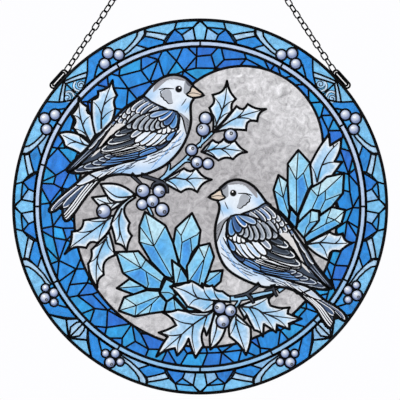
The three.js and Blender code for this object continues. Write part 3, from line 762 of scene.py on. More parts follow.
def paint_head(brush):
    """The head with its cheek and eye, and the breast and belly below it."""
    brush.patch([(104, 17), (111, 12), (121, 10.4), (131, 13), (134.5, 16), (128, 15.4), (118, 13.6),
           (110, 19), (101, 27)], "#9c9ca2")
    for k in range(9):
        x = 131 - 3.6 * k
        y = 12.6 - 0.5 * k + 0.14 * k * k
        brush.stroke([(x, y + 2.4), (x - 2.4, y + 1.4), (x - 5, y + 1.6)], "#6f7077", 0.5)
    face = [(132.5, 15.6), (136.5, 18.5), (139.5, 22), (137.5, 25.5), (134.4, 28), (131, 28), (131, 22.4)]
    brush.patch(face, "#a3a8b0")
    brush.patch([(132.6, 15), (137.5, 18.4), (138.4, 21.5), (134.6, 19.8)], "#5b5d65")
    brush.patch([(109.4, 27), (112.5, 24.6), (116.4, 24.2), (119, 27.4), (119.4, 33), (120.2, 36.8),
           (115.7, 37.4), (112.8, 33.8), (109.4, 31.4)], "#a9aeb6")
    scallops = [(120.4, 37.2), (117.8, 38.2), (115.4, 37.6), (113.8, 35.4), (111.6, 34.2), (110.6, 32.2),
                (108.6, 31), (108.8, 28.8), (108, 26.8), (110, 25), (113, 23.9)]
    brush.stroke(scallops, BLACK, 1.5, steps=2)
    brush.stroke([(106.5, 24.4), (113, 23.2), (121.5, 23.6)], BLACK, 1.5)
    brush.spot((0, 0), 3.9, 20, "#c5cad3")
    brush.spot((0, 0), 3.3, 20, "#050609")
    brush.spot((0.8, -1.3), 0.8, 10, "#ffffff")
    chest = [(126.5, 46.6), (133, 51), (136.8, 55.4), (136.8, 62), (134, 69.5), (131.8, 62), (129.6, 54)]
    brush.patch(chest, "#8f9197")
    brush.stroke([(123.5, 45.5), (129.5, 52), (131.6, 60), (134.2, 70)], BLACK, 1.7)
    for k in range(5):
        brush.stroke([(133 + 0.6 * k, 52 + 3 * k), (135.6, 55 + 2.4 * k)], "#3f444e", 0.6)
    brush.stroke([(133.5, 33), (131, 37), (128.6, 40)], "#1c2330", 1.1)
    brush.stroke([(137.6, 39), (134.6, 42.4), (132, 47)], "#7c93ae", 0.7)
    strokes = random.Random(11)
    for i in range(22):
        share = i / 21
        x = 129 - 68 * share + strokes.uniform(-3, 3)
        y = 74 + 31 * share ** 0.6 + strokes.uniform(-5, 1)
        brush.stroke([(x, y), (x - 4.5, y + 2.8), (x - 10, y + 4.4)], "#27344a", 1.0)
    for i in range(9):
        x, y = 131 - 3.4 * i, 66 + 3.6 * i
        brush.stroke([(x, y), (x - 2, y + 4), (x - 5, y + 7)], "#7fa9da", 1.0)


def paint_mantle(brush):
    """Rows of long feathers with white edges, from the neck to the rump, and the back."""
    neck = (np.array([92.0, 34.5]), np.array([110.5, 43.5]))
    rump = (np.array([58.5, 61.0]), np.array([66.0, 62.0]))
    fills = ("#7d8797", "#9aa3b1", "#5c6a80", "#7f97bd")
    for step in range(6, -1, -1):
        run = step / 6.4
        low, high = (neck[k] + (rump[k] - neck[k]) * run for k in (0, 1))
        low = low - np.array([0.62, 0.78]) * 5.4 * math.sin(math.pi * run) ** 0.7
        for row in range(4):
            base = low + (high - low) * (row + 0.05 + 0.5 * (step % 2)) / 4
            fill = fills[(row * 3 + step) % 4]
            brush.feather(base, base + np.array([-12.4, 10.0]), 2.6 - 0.6 * run, fill, EDGE_WHITE)
    strip = [(67, 57.4), (72.6, 59.6), (64.6, 65.4), (56.4, 73.4), (48.6, 84.4), (40.2, 90.6), (45.2, 84.4),
             (52.8, 73), (59.6, 63.4)]
    brush.patch(strip, "#dcd9d8")
    brush.stroke([(66, 56), (59, 62.6), (52, 72.4), (44.4, 83.8), (38.4, 91)], BLACK, 2.0)
    brush.patch([(61, 57), (54, 63.6), (44, 73.6), (37, 81.8), (27, 91), (17.4, 101.4), (19, 103.6),
           (34, 93.6), (39.5, 88.5), (53, 69)], BACK_BLUE)
    for base, tip in (((60, 57), (51.4, 65.4)), ((53.6, 64.6), (44.4, 73.6)), ((46.4, 72.6), (37.4, 82))):
        brush.feather(base, tip, 2.2, "#7d8797", EDGE_WHITE, rim=0.9)
    for shift in (0, 2.4, 4.8):
        line = [(39 + shift * 0.6, 82.6 + shift), (30, 91.6 + shift), (21 + shift, 100.4)]
        brush.stroke(line, BLACK, 2.4)
        brush.stroke(line, "#93a0b6", 0.9)


def paint_wing(brush):
    """The wing, from the long feathers at its lower edge up to the shoulder."""
    for k, tip in enumerate(((24, 104), (33, 100.4), (41.4, 96.6), (47.4, 92.8), (53.4, 89.8))):
        brush.feather((94, 86 + 1.2 * k), tip, 4.2 - 0.35 * k, SLATE, "#ccd6e4", rim=0.9)
    for k in range(4):
        y = 91.6 - 1.9 * k
        fill = "#3d6aa6" if k % 2 else "#5387c8"
        brush.feather((95, y - 1.4), (50 + 4.4 * k, y + 6.6 - 1.0 * k), 1.25, fill, "#6f9bd2")
    for k in range(3):
        brush.feather((108 - k, 77 + 2.4 * k), (87.6, 84.4 + 2.3 * k), 1.6, "#4a7dc0", "#7fabe0")
    brush.feather((120, 70), (104.6, 81.4), 3.0, "#22304a", "#3d5276")
    for k in range(4):
        base = (93 - 0.6 * k, 81.6 - 1.3 * k)
        tip = (64 - 4 * k, 88.6 - 1.0 * k)
        brush.feather(base, tip, 0.95, EDGE_WHITE, EDGE_WHITE, rim=0.72)
    brush.feather((93, 75.5), (50.2, 85.6), 3.0, EDGE_WHITE, EDGE_WHITE, rim=0.9)
    brush.stroke([(88, 78.6), (70, 82), (54, 86)], BLACK, 1.0)
    dark_feathers = (
        ((90, 72), (50.4, 83.6), 3.7),
        ((86, 68), (56.4, 76.6), 3.3),
        ((83, 62), (63.6, 68.8), 2.7),
    )
    for base, tip, half in dark_feathers:
        brush.feather(base, tip, half, "#323b49", EDGE_WHITE, rim=0.9)
        brush.feather(base, (tip[0] + 5, tip[1] - 2.4), half - 0.9, "#323b49", "#5b6572", rim=0.3)
    for k in range(8):
        tip = ((79.4, 70.8), (83.4, 75.4), (88.6, 77.8), (94, 78.8), (99.2, 78.8), (104, 78), (108.4, 76.4),
               (112.4, 74))[7 - k]
        fill = "#8b98ab" if k == 7 else ("#c3daf3" if k % 2 else "#e4edf8")
        brush.feather((tip[0] + 15, tip[1] - 11), tip, 2.3, fill, EDGE_WHITE, rim=0.8)
    brush.feather((124, 66), (114.5, 73.6), 2.2, "#5b8fd0", "#8ab4e4")
    for x, y in ((122.6, 63.4), (119, 65), (115, 66.4), (110.6, 67.2), (106.2, 66.6), (102, 65.2)):
        brush.feather((x + 1.8, y - 7), (x, y), 2.3, "#eef2f8", EDGE_WHITE)
    upper_row = [(76, 61.8), (81.6, 62.6), (87.6, 63.6), (93.4, 64), (98.8, 64.2), (104, 62.4)]
    for x, y in upper_row + [(109.4, 60.8)]:
        brush.feather((x + 10.4, y - 13.4), (x, y), 3.1, "#98a1ad", "#c3cad4", rim=1.1)
        brush.stroke([(x + 7, y - 9), (x + 1.6, y - 2.2)], "#4c535f", 0.8)
    brush.feather((122.6, 49), (119.6, 62), 3.3, "#548cc9", "#8bb4de", rim=0.9)
    brush.feather((121.4, 46.6), (112.4, 58.6), 3.3, "#3a5c8e", "#5a7fb2", rim=0.9)
    brush.feather((119.4, 45), (106.6, 53.8), 2.8, "#4a7ab8", EDGE_WHITE, rim=0.9)
    brush.feather((116, 44.4), (98, 50.6), 2.4, "#7798c4", "#c0d2e8", rim=0.9)
    brush.stroke([(134.4, 28.4), (141, 27.6), (149.4, 29.8)], "#3a332e", 0.9)


def draw_bird(name):
    """The glass of one bird, from the tail to the beak, and then the paint on it."""
    brush = Brush(name)
    cut(brush.area(TAIL, 2), "tail", brush.group, BIRD_LINE, WING_LINE)
    cut(brush.area(BODY), "plumage", brush.group, BIRD_LINE, WING_LINE)
    cut(brush.area(BACK, 2), "back", brush.group, BIRD_LINE, WING_LINE)
    cut(brush.area(WING, 2), "wing", brush.group, BIRD_LINE, WING_LINE)
    cut(brush.area(BEAK, 2), "beak", brush.group, BEAK_LINE, BEAK_INNER_LINE)
    paint_tail(brush)
    paint_head(brush)
    paint_mantle(brush)
    paint_wing(brush)


# Light and dark of the white plumage: place, reach along and across, slope, colour and strength.
SHADES = [
    (97, 31, 12, 6, -40, "#a9cdf0", 0.9), (134, 41, 5, 10, 70, "#9ccbf2", 0.95),
    (130, 33, 6, 4, 0, "#dcebf8", 0.5), (118, 12, 16, 3, -5, "#9c9ca1", 0.6),
    (72, 104, 24, 5, -6, "#8fbeeb", 0.9), (108, 97, 22, 6, -32, "#a9cdf0", 0.75),
    (127, 80, 18, 4, -58, "#b9d6f3", 0.6), (134, 62, 12, 3, -80, "#aeb4be", 0.5),
    (100, 88, 22, 4, -30, "#d7e5f5", 0.5), (45, 108, 14, 6, -25, "#9fc6ec", 0.6),
]

draw_border()
draw_border_berries()
draw_mosaic()
draw_band()
draw_sky()
draw_strips(TWIGS[:5], "twig", "twigs", TWIG_LINE)
for leaf in BEHIND_CRYSTALS:
    draw_leaf(leaf)
draw_crystals(RIGHT_CRYSTALS, "right_crystal")
draw_crystals(LEFT_CRYSTALS, "left_crystal")
draw_strips(TWIGS[5:], "twig", "twigs", TWIG_LINE)
for leaf in LEAVES:
    if leaf not in BEHIND_CRYSTALS:
        draw_leaf(leaf)
draw_bird("upper")
draw_bird("lower")
draw_strips(FEET, "foot", "feet", FOOT_LINE)
for x, y, radius, calyx in INNER_BERRIES:
    add_nugget(at(x, y), radius, calyx)


# The plane arrangement of all the figures.


def contains(outline, points):
    """Which points lie inside an outline."""
    x, y = points[:, 0], points[:, 1]
    inside = np.zeros(len(points), dtype=bool)
    ends = np.roll(outline, -1, axis=0)
    for (ax, ay), (bx, by) in zip(outline, ends):
        if ay == by:
            continue
        crosses = (ay > y) != (by > y)
        inside ^= crosses & (x < (bx - ax) * (y - ay) / (by - ay) + ax)
    return inside


def topmost(shapes, points, allowed=None):
    """The index of the last shape over each point, or -1."""
    result = np.full(len(points), -1)
    for index, shape in enumerate(shapes):
        low, high = shape.outline.min(axis=0), shape.outline.max(axis=0)
        near = np.all((points >= low) & (points <= high), axis=1)
        if allowed is not None:
            near &= allowed == shape.group
        rows = np.flatnonzero(near)
        if len(rows):
            result[rows[contains(shape.outline, points[rows])]] = index
    return result


FINE_GLASS = {"sky", "leaf", "crystal", "plumage"}


def sample_points():
    """Extra points inside the glass: close together where it is shaded or dented."""
    chosen = []
    jitter = np.random.default_rng(5)
    for step, fine in ((FINE_STEP, True), (COARSE_STEP, False)):
        rows = int(2 * GLASS_RADIUS / (step * 0.866)) + 1
        columns = int(2 * GLASS_RADIUS / step) + 1
        grid = np.array(
            [
                (-GLASS_RADIUS + step * (i + 0.5 * (j % 2)), -GLASS_RADIUS + 0.866 * step * j)
                for j in range(rows)
                for i in range(columns)
            ]
        )
        grid += jitter.uniform(-0.22, 0.22, grid.shape) * step
        grid = grid[np.hypot(grid[:, 0], grid[:, 1]) < GLASS_RADIUS - 1]
        owner = topmost(figures, grid)
        wanted = np.array([(figures[i].glass in FINE_GLASS) == fine for i in owner])
        chosen.append(grid[wanted])
    return np.vstack(chosen)


def arrange():
    """One flat mesh that holds every outline: its points and its triangles, anticlockwise."""
    corners = []
    edges = []
    for shape in figures + paints:
        start = len(corners)
        count = len(shape.outline)
        corners += [Vector(p) for p in shape.outline]
        edges += [(start + i, start + (i + 1) % count) for i in range(count)]
    corners += [Vector(p) for p in sample_points()]
    result = delaunay_2d_cdt(corners, edges, [], 0, 0.02, False)
    points = np.array([tuple(v) for v in result[0]])
    triangles = np.array([tuple(f) for f in result[2]])
    a, b, c = (points[triangles[:, k]] for k in range(3))
    area = (b[:, 0] - a[:, 0]) * (c[:, 1] - a[:, 1]) - (b[:, 1] - a[:, 1]) * (c[:, 0] - a[:, 0])
    triangles[area < 0] = triangles[area < 0][:, ::-1]
    return points, triangles[np.abs(area) > 1e-7]


points, triangles = arrange()
middles = points[triangles].mean(axis=1)
owner = topmost(figures, middles)
groups = np.array([figure.group for figure in figures] + [""])
painted = topmost(paints, middles, groups[owner])

# Glass figures that have no line between them count as one region.
region_ids = {}
region_of = []
for index, figure in enumerate(figures):
    key = (figure.group, index if figure.inner else -1)
    region_of.append(region_ids.setdefault(key, len(region_ids)))
region = np.array(region_of + [-1])[owner]

sides = np.sort(triangles[:, [[0, 1], [1, 2], [2, 0]]].reshape(-1, 2), axis=1)
side_owner = np.repeat(np.arange(len(triangles)), 3)
order = np.lexsort((sides[:, 1], sides[:, 0]))
sides, side_owner = sides[order], side_owner[order]
same = np.all(sides[1:] == sides[:-1], axis=1)
first = np.flatnonzero(same)
pairs = np.stack([side_owner[first], side_owner[first + 1]], axis=1)
seam = region[pairs[:, 0]] != region[pairs[:, 1]]
seam_edges = sides[first][seam]
seam_pairs = owner[pairs[seam]]


def line_width(one, other):
    """The width of the line between two figures."""
    if one < 0 or other < 0:
        return 0.0
    a, b = figures[one], figures[other]
    if a.group == b.group:
        return max(a.inner, b.inner)
    return max(a.outer, b.outer) if min(a.outer, b.outer) > 0 else 0.0


NARROW = {"twigs", "feet"}


def seam_width(one, other):
    """Twigs and feet keep thin lines against the glass behind them."""
    width = line_width(one, other)
    for index in (one, other):
        if index >= 0 and figures[index].group in NARROW:
            partner = figures[other if index == one else one]
            if partner.group in NARROW | {"sky", "mosaic"} or partner.glass == "leaf":
                return figures[index].outer
    for index in (one, other):
        if index >= 0 and figures[index].glass == "nugget":
            return figures[index].outer
    return width


seam_widths = np.array([seam_width(a, b) for a, b in seam_pairs])
kept = seam_widths > 0
seam_edges, seam_widths, seam_pairs = seam_edges[kept], seam_widths[kept], seam_pairs[kept]

# Distance from every point to the nearest line, for the shading of the glass.
seam_tree_points = []
for a, b in seam_edges:
    count = max(1, int(np.linalg.norm(points[b] - points[a]) / 0.8))
    for i in range(count + 1):
        seam_tree_points.append(points[a] + (points[b] - points[a]) * i / count)
tree = kdtree.KDTree(len(seam_tree_points))
for i, p in enumerate(seam_tree_points):
    tree.insert((p[0], p[1], 0), i)
tree.balance()
distance = np.array([tree.find((p[0], p[1], 0))[2] for p in points])


# Materials.


class Value:
    """A shader socket that Python's arithmetic adds Math nodes to."""

    def __init__(self, shader, socket):
        self.shader = shader
        self.socket = socket

    def join(self, operation, other, swap=False):
        inputs = [other, self] if swap else [self, other]
        node = self.shader.node("ShaderNodeMath", {"operation": operation}, dict(enumerate(inputs)))
        return Value(self.shader, node.outputs[0])

    def __add__(self, other):
        return self.join("ADD", other)

    def __radd__(self, other):
        return self.join("ADD", other, True)

    def __sub__(self, other):
        return self.join("SUBTRACT", other)

    def __rsub__(self, other):
        return self.join("SUBTRACT", other, True)

    def __mul__(self, other):
        return self.join("MULTIPLY", other)


class Shader:
    """Builds one material's nodes."""

    def __init__(self, name):
        self.material = bpy.data.materials.new(name)
        self.material.use_nodes = True
        self.tree = self.material.node_tree
        self.surface = self.tree.nodes["Principled BSDF"]

    def node(self, kind, settings=None, inputs=None):
        node = self.tree.nodes.new(kind)
        for key, value in (settings or {}).items():
            if key == "stops":
                ramp = node.color_ramp.elements
                while len(ramp) < len(value):
                    ramp.new(0.5)
                for stop, (position, colour) in zip(ramp, value):
                    stop.position = position
                    stop.color = colour
            else:
                setattr(node, key, value)
        for key, value in (inputs or {}).items():
            self.feed(node.inputs[key], value)
        return node

    def feed(self, socket, value):
        if isinstance(value, Value):
            self.tree.links.new(value.socket, socket)
        elif isinstance(value, bpy.types.NodeSocket):
            self.tree.links.new(value, socket)
        else:
            socket.default_value = value

    def set(self, **values):
        for key, value in values.items():
            self.feed(self.surface.inputs[key.replace("_", " ")], value)

    def place(self):
        return self.node("ShaderNodeTexCoord").outputs["Object"]

    def noise(self, scale, detail, distortion=0.0, stretch=(1, 1, 1)):
        mapping = self.node("ShaderNodeMapping", {}, {"Vector": self.place(), "Scale": stretch})
        inputs = {
            "Vector": mapping.outputs[0],
            "Scale": scale,
            "Detail": detail,
            "Distortion": distortion,
        }
        return Value(self, self.node("ShaderNodeTexNoise", {}, inputs).outputs["Fac"])

    def attribute(self, name, output):
        return self.node("ShaderNodeAttribute", {"attribute_name": name}).outputs[output]

    def distance(self, start, end):
        inputs = {0: start, 1: end}
        node = self.node("ShaderNodeVectorMath", {"operation": "DISTANCE"}, inputs)
        return Value(self, node.outputs["Value"])

    def ramp_down(self, value, none, full):
        """One where the value is below full, and zero where it is above none."""
        inputs = {"Value": value, "From Min": none, "From Max": full, "To Min": 0.0, "To Max": 1.0}
        return Value(self, self.node("ShaderNodeMapRange", {}, inputs).outputs[0])

    def scaled(self, colour, factor):
        """A colour times a value that is around one."""
        grey = self.node("ShaderNodeCombineXYZ", {}, {0: factor, 1: factor, 2: factor})
        inputs = {0: colour, 1: grey.outputs[0]}
        return self.node("ShaderNodeVectorMath", {"operation": "MULTIPLY"}, inputs).outputs[0]

    def mix(self, low, high, share):
        inputs = {"Factor": share, "A": low, "B": high}
        node = self.node("ShaderNodeMix", {"data_type": "RGBA"})
        for socket in node.inputs:
            if socket.type == "RGBA" and socket.name in ("A", "B"):
                self.feed(socket, inputs[socket.name])
            elif socket.name == "Factor" and socket.type == "VALUE":
                self.feed(socket, inputs["Factor"])
        return next(s for s in node.outputs if s.type == "RGBA")

    def bump(self, height, distance_mm, strength=1.0):
        inputs = {"Height": height, "Distance": distance_mm * MM, "Strength": strength}
        return self.node("ShaderNodeBump", {}, inputs).outputs[0]


def solder_material(name, grey, roughness):
    """Blackened metal with worn, paler spots."""
    shader = Shader(name)
    patina = shader.noise(140, 4, 0.3)
    fine = shader.noise(1400, 3)
    dark, worn = (grey, grey, grey * 1.08, 1), (grey * 4, grey * 4, grey * 4.2, 1)
    shade = shader.mix(dark, worn, (patina - 0.47) * 1.8)
    shader.set(Base_Color=shade, Roughness=roughness + (patina - 0.5) * 0.35)
    shader.set(Metallic=1.0, Normal=shader.bump(patina * 0.7 + fine * 0.3, 0.12, 0.5))
    shader.set(Specular_Tint=(0.2, 0.2, 0.2, 1))
    return shader.material


def glass_material(
    name, roughness, through, streak, streak_scale, dent, dent_scale, stretch=(1, 1, 1), gloss=0.22
):
    """Coloured glass: its tint is drawn on the mesh, with streaks and a wavy, glossy face."""
    shader = Shader(name)
    cloud = shader.noise(streak_scale, 3, 1.2, stretch=stretch)
    speck = shader.noise(streak_scale * 7, 2)
    factor = (cloud - 0.5) * streak + (speck - 0.5) * (streak * 0.35) + 1.0
    shader.set(Base_Color=shader.scaled(shader.attribute("tint", "Color"), factor))
    wave = shader.noise(dent_scale, 2, 0.4)
    shader.set(Normal=shader.bump(wave, dent, 0.6), Roughness=roughness)
    shader.set(IOR=1.5, Specular_IOR_Level=gloss, Transmission_Weight=through)
    shader.set(Coat_Weight=gloss / 3, Coat_Roughness=0.06)
    return shader.material


MATERIALS = {
    "border": glass_material("border_glass", 0.16, 0.3, 1.2, 130, 0.35, 130),
    "band": glass_material("band_glass", 0.16, 0.3, 0.5, 120, 0.25, 150),
    "mosaic": glass_material("mosaic_glass", 0.14, 0.3, 1.2, 110, 0.4, 110, (1, 1, 0.5), gloss=0.14),
    "sky": glass_material("hammered_glass", 0.2, 0.3, 1.7, 115, 1.3, 150),
    "leaf": glass_material("leaf_glass", 0.18, 0.2, 0.8, 150, 0.25, 160, gloss=0.1),
    "crystal": glass_material("crystal_glass", 0.12, 0.35, 1.0, 130, 0.3, 120),
    "plumage": glass_material("painted_glass", 0.22, 0.1, 0.3, 180, 0.15, 200, gloss=0.06),
    "solder": solder_material("black_solder", 0.005, 0.42),
    "came": solder_material("black_came", 0.005, 0.36),
    "wire": solder_material("black_wire", 0.006, 0.34),
}


# Tints of the glass.

WHITE = linear("#f5fafe")
LEAF_BLUE = linear("#86c4ee")
PLAIN_CODES = {
    "twig": "#9fd0f3",
    "tail": "#46536a",
    "back": "#4d5a70",
    "wing": "#3a4556",
    "beak": "#ddcdbc",
    "foot": "#3b3f49",
}
CRYSTAL_TONES = [linear(c) for c in ("#e2f9ff", "#aee5fc", "#7ecffa", "#58b3f2", "#429ae8")]
SHADE_COLOURS = [linear(shade[5]) for shade in SHADES]


def tone_of(scale, tone):
    """Colours along a scale, for tones from zero to one."""
    value = np.clip(np.asarray(tone), 0, 1) * (len(scale) - 1)
    low = np.minimum(np.floor(value).astype(int), len(scale) - 2)
    table = np.array(scale)
    return blend(table[low], table[low + 1], value - low)


def glass_tint(index, rows):
    """Colours of a figure's glass at points, by its kind."""
    figure = figures[index]
    xy, depth = points[rows], distance[rows]
    plain = np.ones((len(rows), 3))
    if figure.glass == "border":
        return plain * linear(BORDER_TONES[figure.tone])
    if figure.glass == "band":
        return blend(linear("#9ccdf6"), linear("#c6daf8"), ease(-140, 40, xy[:, 1]))
    if figure.glass == "mosaic":
        return plain * linear(MOSAIC_COLOURS[int(figure.tone)])
    if figure.glass == "sky":
        light = ease(60, 190, xy[:, 1] + 0.7 * xy[:, 0]) + 0.6 * (1 - ease(-95, -15, xy[:, 1]))
        return blend(linear("#bab8ba"), linear("#dcdbdd"), light)
    if figure.glass == "leaf":
        along = figure.facts["along"]
        run = ((xy - figure.facts["start"]) @ along) / (along @ along)
        share = ease(1.2, 5.2, depth) * (0.95 - 0.45 * np.clip(run, 0, 1))
        share += 0.3 * (1 - ease(0, 0.4, run))
        return blend(WHITE, LEAF_BLUE, np.clip(share, 0, 1))
    if figure.glass == "crystal":
        reach = np.linalg.norm(xy - figure.facts["heart"], axis=1)
        edge = ease(0.4, 2.6, depth)
        tone = figure.tone * (0.45 + 0.55 * edge) + 0.16 * (1 - ease(0, 16, reach)) + 0.06
        return tone_of(CRYSTAL_TONES, tone)
    if figure.glass == "plumage":
        colour = plain * linear("#e4ebf3")
        name = figure.group.split("_")[0]
        flat = sketch_back(BIRDS[name], xy)
        for (cx, cy, along, across, slope, _, strength), shade in zip(SHADES, SHADE_COLOURS):
            turn = math.radians(slope)
            dx, dy = flat[:, 0] - cx, flat[:, 1] - cy
            u = dx * math.cos(turn) + dy * math.sin(turn)
            v = -dx * math.sin(turn) + dy * math.cos(turn)
            share = strength * np.exp(-((u / along) ** 2) - (v / across) ** 2)
            colour = colour * (1 - share[:, None]) + shade * share[:, None]
        return colour
    return plain * linear(PLAIN_CODES[figure.glass])


def sketch_back(bird, xy):
    """Sketch coordinates of points on the panel."""
    turn = math.radians(bird["turn"])
    dx, dy = xy[:, 0] - bird["eye"][0], xy[:, 1] - bird["eye"][1]
    size = bird["scale"] * SKETCH_UNIT
    across = (dx * math.cos(turn) + dy * math.sin(turn)) / size * bird["facing"]
    up = (-dx * math.sin(turn) + dy * math.cos(turn)) / size
    return np.stack([EYE[0] + across, EYE[1] - up], axis=1)


def relief(kind, x, y, depth):
    """How far the front of the glass stands out, in millimetres."""
    if kind == "sky":
        spot = Vector((x * 0.24, y * 0.3, 0.7))
        dent = noise.noise(spot) + 0.5 * noise.noise(spot * 2.3)
        return 0.34 * dent * min(1.0, depth / 3)
    if kind in ("mosaic", "border"):
        return 0.12 * noise.noise(Vector((x * 0.08, y * 0.08, 3.1))) + 0.1 * min(1.0, depth / 5)
    if kind == "crystal":
        return 0.28 * min(1.0, depth / 4)
    return 0.14 * min(1.0, depth / 6)


def solid_mesh(name, vertices, faces, material, smooth_angle):
    """A new object, smooth except where its faces meet at more than an angle in degrees."""
    mesh = bpy.data.meshes.new(name)
    mesh.from_pydata([tuple(v) for v in vertices], [], faces)
    mesh.materials.append(material)
    mesh.validate()
    mesh.update()
    obj = bpy.data.objects.new(name, mesh)
    bpy.context.scene.collection.objects.link(obj)
    mesh.polygons.foreach_set("use_smooth", [True] * len(mesh.polygons))
    mesh.set_sharp_from_angle(angle=math.radians(smooth_angle))
    return obj


def placed(x, y, depth):
    """A point of the panel in metres, a depth in front of the middle plane."""
    return (x * MM, -depth * MM, (y + DISC_CENTRE_Z) * MM)


def glass_object(name, kinds, material, nodes):
    """All tiles of some kinds as one piece, each a closed slab."""
    kinds = set(kinds)
    chosen = np.flatnonzero([i >= 0 and figures[i].glass in kinds for i in owner])
    number = {}
    faces = []
    tri = triangles[chosen]
    tri_region = region[chosen]
    for corner_ids, reg in zip(tri, tri_region):
        faces.append(tuple(number.setdefault((reg, v), len(number)) for v in corner_ids))
    keys = list(number)
    count = len(keys)
    front, back = [], []
    kind_of_region = {region_of[i]: figures[i].glass for i in range(len(figures))}
    for reg, v in keys:
        x, y = points[v]
        lift = relief(kind_of_region[reg], x, y, distance[v])
        front.append(placed(x, y, GLASS_HALF_DEPTH + lift))
        back.append(placed(x, y, -GLASS_HALF_DEPTH))
    # Colours of the corners, figure by figure.
    corner_colours = np.zeros((len(chosen), 3, 3))
    for index in np.unique(owner[chosen]):
        rows = np.flatnonzero(owner[chosen] == index)
        corner_colours[rows] = glass_tint(index, tri[rows].reshape(-1)).reshape(-1, 3, 3)
    for index in np.unique(painted[chosen]):
        if index >= 0:
            corner_colours[painted[chosen] == index] = linear(paints[index].tone)
    walls, wall_colours = [], []
    rim_edges = {}
    for face, colour in zip(faces, corner_colours):
        for k in range(3):
            a, b = face[k], face[(k + 1) % 3]
            if (b, a) in rim_edges:
                del rim_edges[(b, a)]
            else:
                rim_edges[(a, b)] = colour[k]
    for (a, b), colour in rim_edges.items():
        walls.append((b, a, a + count, b + count))
        wall_colours.append(colour)
    back_faces = [tuple(v + count for v in face[::-1]) for face in faces]
    all_faces = faces + back_faces + walls
    obj = solid_mesh(name, front + back, all_faces, material, 40)
    flat = [corner_colours.reshape(-1, 3), corner_colours[:, ::-1].reshape(-1, 3)]
    if walls:
        flat.append(np.repeat(np.array(wall_colours), 4, axis=0))
    values = np.concatenate(flat)
    attribute = obj.data.color_attributes.new("tint", "FLOAT_COLOR", "CORNER")
    rgba = np.ones((len(values), 4))
    rgba[:, :3] = values
    if len(attribute.data) == len(rgba):
        attribute.data.foreach_set("color", rgba.reshape(-1))
    else:
        raise RuntimeError(f"{name}: {len(attribute.data)} corners, {len(rgba)} colours")
    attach(obj, "root")
    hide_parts(*nodes)


# Solder beads on the front and the back.

BEAD_PROFILE = [(-1.0, 0.0), (-0.9, 0.55), (-0.5, 0.92), (0.5, 0.92), (0.9, 0.55), (1.0, 0.0)]



# Seams whose widths differ by less than this are mitred into one.
LIKE_WIDTH = 0.3


def bead_height(half):
    """How high a bead stands over the glass, by its half width."""
    return 0.32 + 0.3 * half


def bead_object(name, side):
    """Half round beads along every seam, with a small dome where seams meet."""
    around = {}
    for index, (a, b) in enumerate(seam_edges):
        around.setdefault(a, []).append(index)
        around.setdefault(b, []).append(index)
    vertices, faces = [], []

    def level(height):
        return side * (GLASS_HALF_DEPTH - BEAD_SINK + height)

    def section(centre, across, half):
        start = len(vertices)
        top = bead_height(half) + BEAD_SINK
        for run, height in BEAD_PROFILE:
            x, y = centre + across * run * half
            vertices.append(placed(x, y, level(height * top)))
        return start

    def turn_at(vertex, index):
        """The miter across a seam's end where just one other seam of like width goes on."""
        mates = around[vertex]
        a, b = seam_edges[index]
        way = points[b] - points[a]
        way /= max(np.linalg.norm(way), 1e-9)
        square = np.array([-way[1], way[0]])
        if len(mates) != 2:
            return square
        other = mates[0] if mates[1] == index else mates[1]
        if abs(seam_widths[other] - seam_widths[index]) > LIKE_WIDTH:
            return square
        c, d = seam_edges[other]
        far = d if c == vertex else c
        near = b if a == vertex else a
        into = points[vertex] - points[near]
        out = points[far] - points[vertex]
        into /= max(np.linalg.norm(into), 1e-9)
        out /= max(np.linalg.norm(out), 1e-9)
        middle = into + out
        size = np.linalg.norm(middle)
        if size < 1.2:
            return square
        middle /= size
        across = np.array([-middle[1], middle[0]])
        across /= max(across @ square, across @ -square)
        return across if across @ square > 0 else -across

    for index, ((a, b), width) in enumerate(zip(seam_edges, seam_widths)):
        half = width / 2
        first_row = section(points[a], turn_at(a, index), half)
        last_row = section(points[b], turn_at(b, index), half)
        count = len(BEAD_PROFILE)
        for k in range(count):
            n = (k + 1) % count
            quad = (first_row + k, last_row + k, last_row + n, first_row + n)
            faces.append(quad if side > 0 else quad[::-1])
    for vertex, mates in around.items():
        widths = [seam_widths[i] for i in mates]
        needs = len(mates) != 2 or abs(widths[0] - widths[1]) > LIKE_WIDTH
        if not needs:
            ends = [seam_edges[i] for i in mates]
            ways = []
            for a, b in ends:
                far = b if a == vertex else a
                way = points[far] - points[vertex]
                ways.append(way / max(np.linalg.norm(way), 1e-9))
            needs = np.linalg.norm(ways[0] - ways[1]) < 1.25
        if not needs:
            continue
        half = max(widths) / 2 * 1.04
        top = bead_height(half) + BEAD_SINK
        start = len(vertices)
        segments = 9
        for share, height in ((1.0, 0.0), (0.74, 0.62)):
            for x, y in ring(points[vertex], half * share, segments):
                vertices.append(placed(x, y, level(height * top)))
        vertices.append(placed(*points[vertex], level(top)))
        apex = len(vertices) - 1
        disc = [start + k for k in range(segments)]
        faces.append(tuple(disc[::-1] if side > 0 else disc))
        for k in range(segments):
            n = (k + 1) % segments
            wall = (start + k, start + n, start + segments + n, start + segments + k)
            cap = (start + segments + k, start + segments + n, apex)
            faces.append(wall if side > 0 else wall[::-1])
            faces.append(cap if side > 0 else cap[::-1])
    obj = solid_mesh(name, vertices, faces, MATERIALS["solder"], 50)
    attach(obj, "root")
    return obj


node_names = list(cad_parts)


def nodes_with(*starts):
    """The nodes whose names start in one of some ways."""
    return [name for name in node_names if name.startswith(starts)]


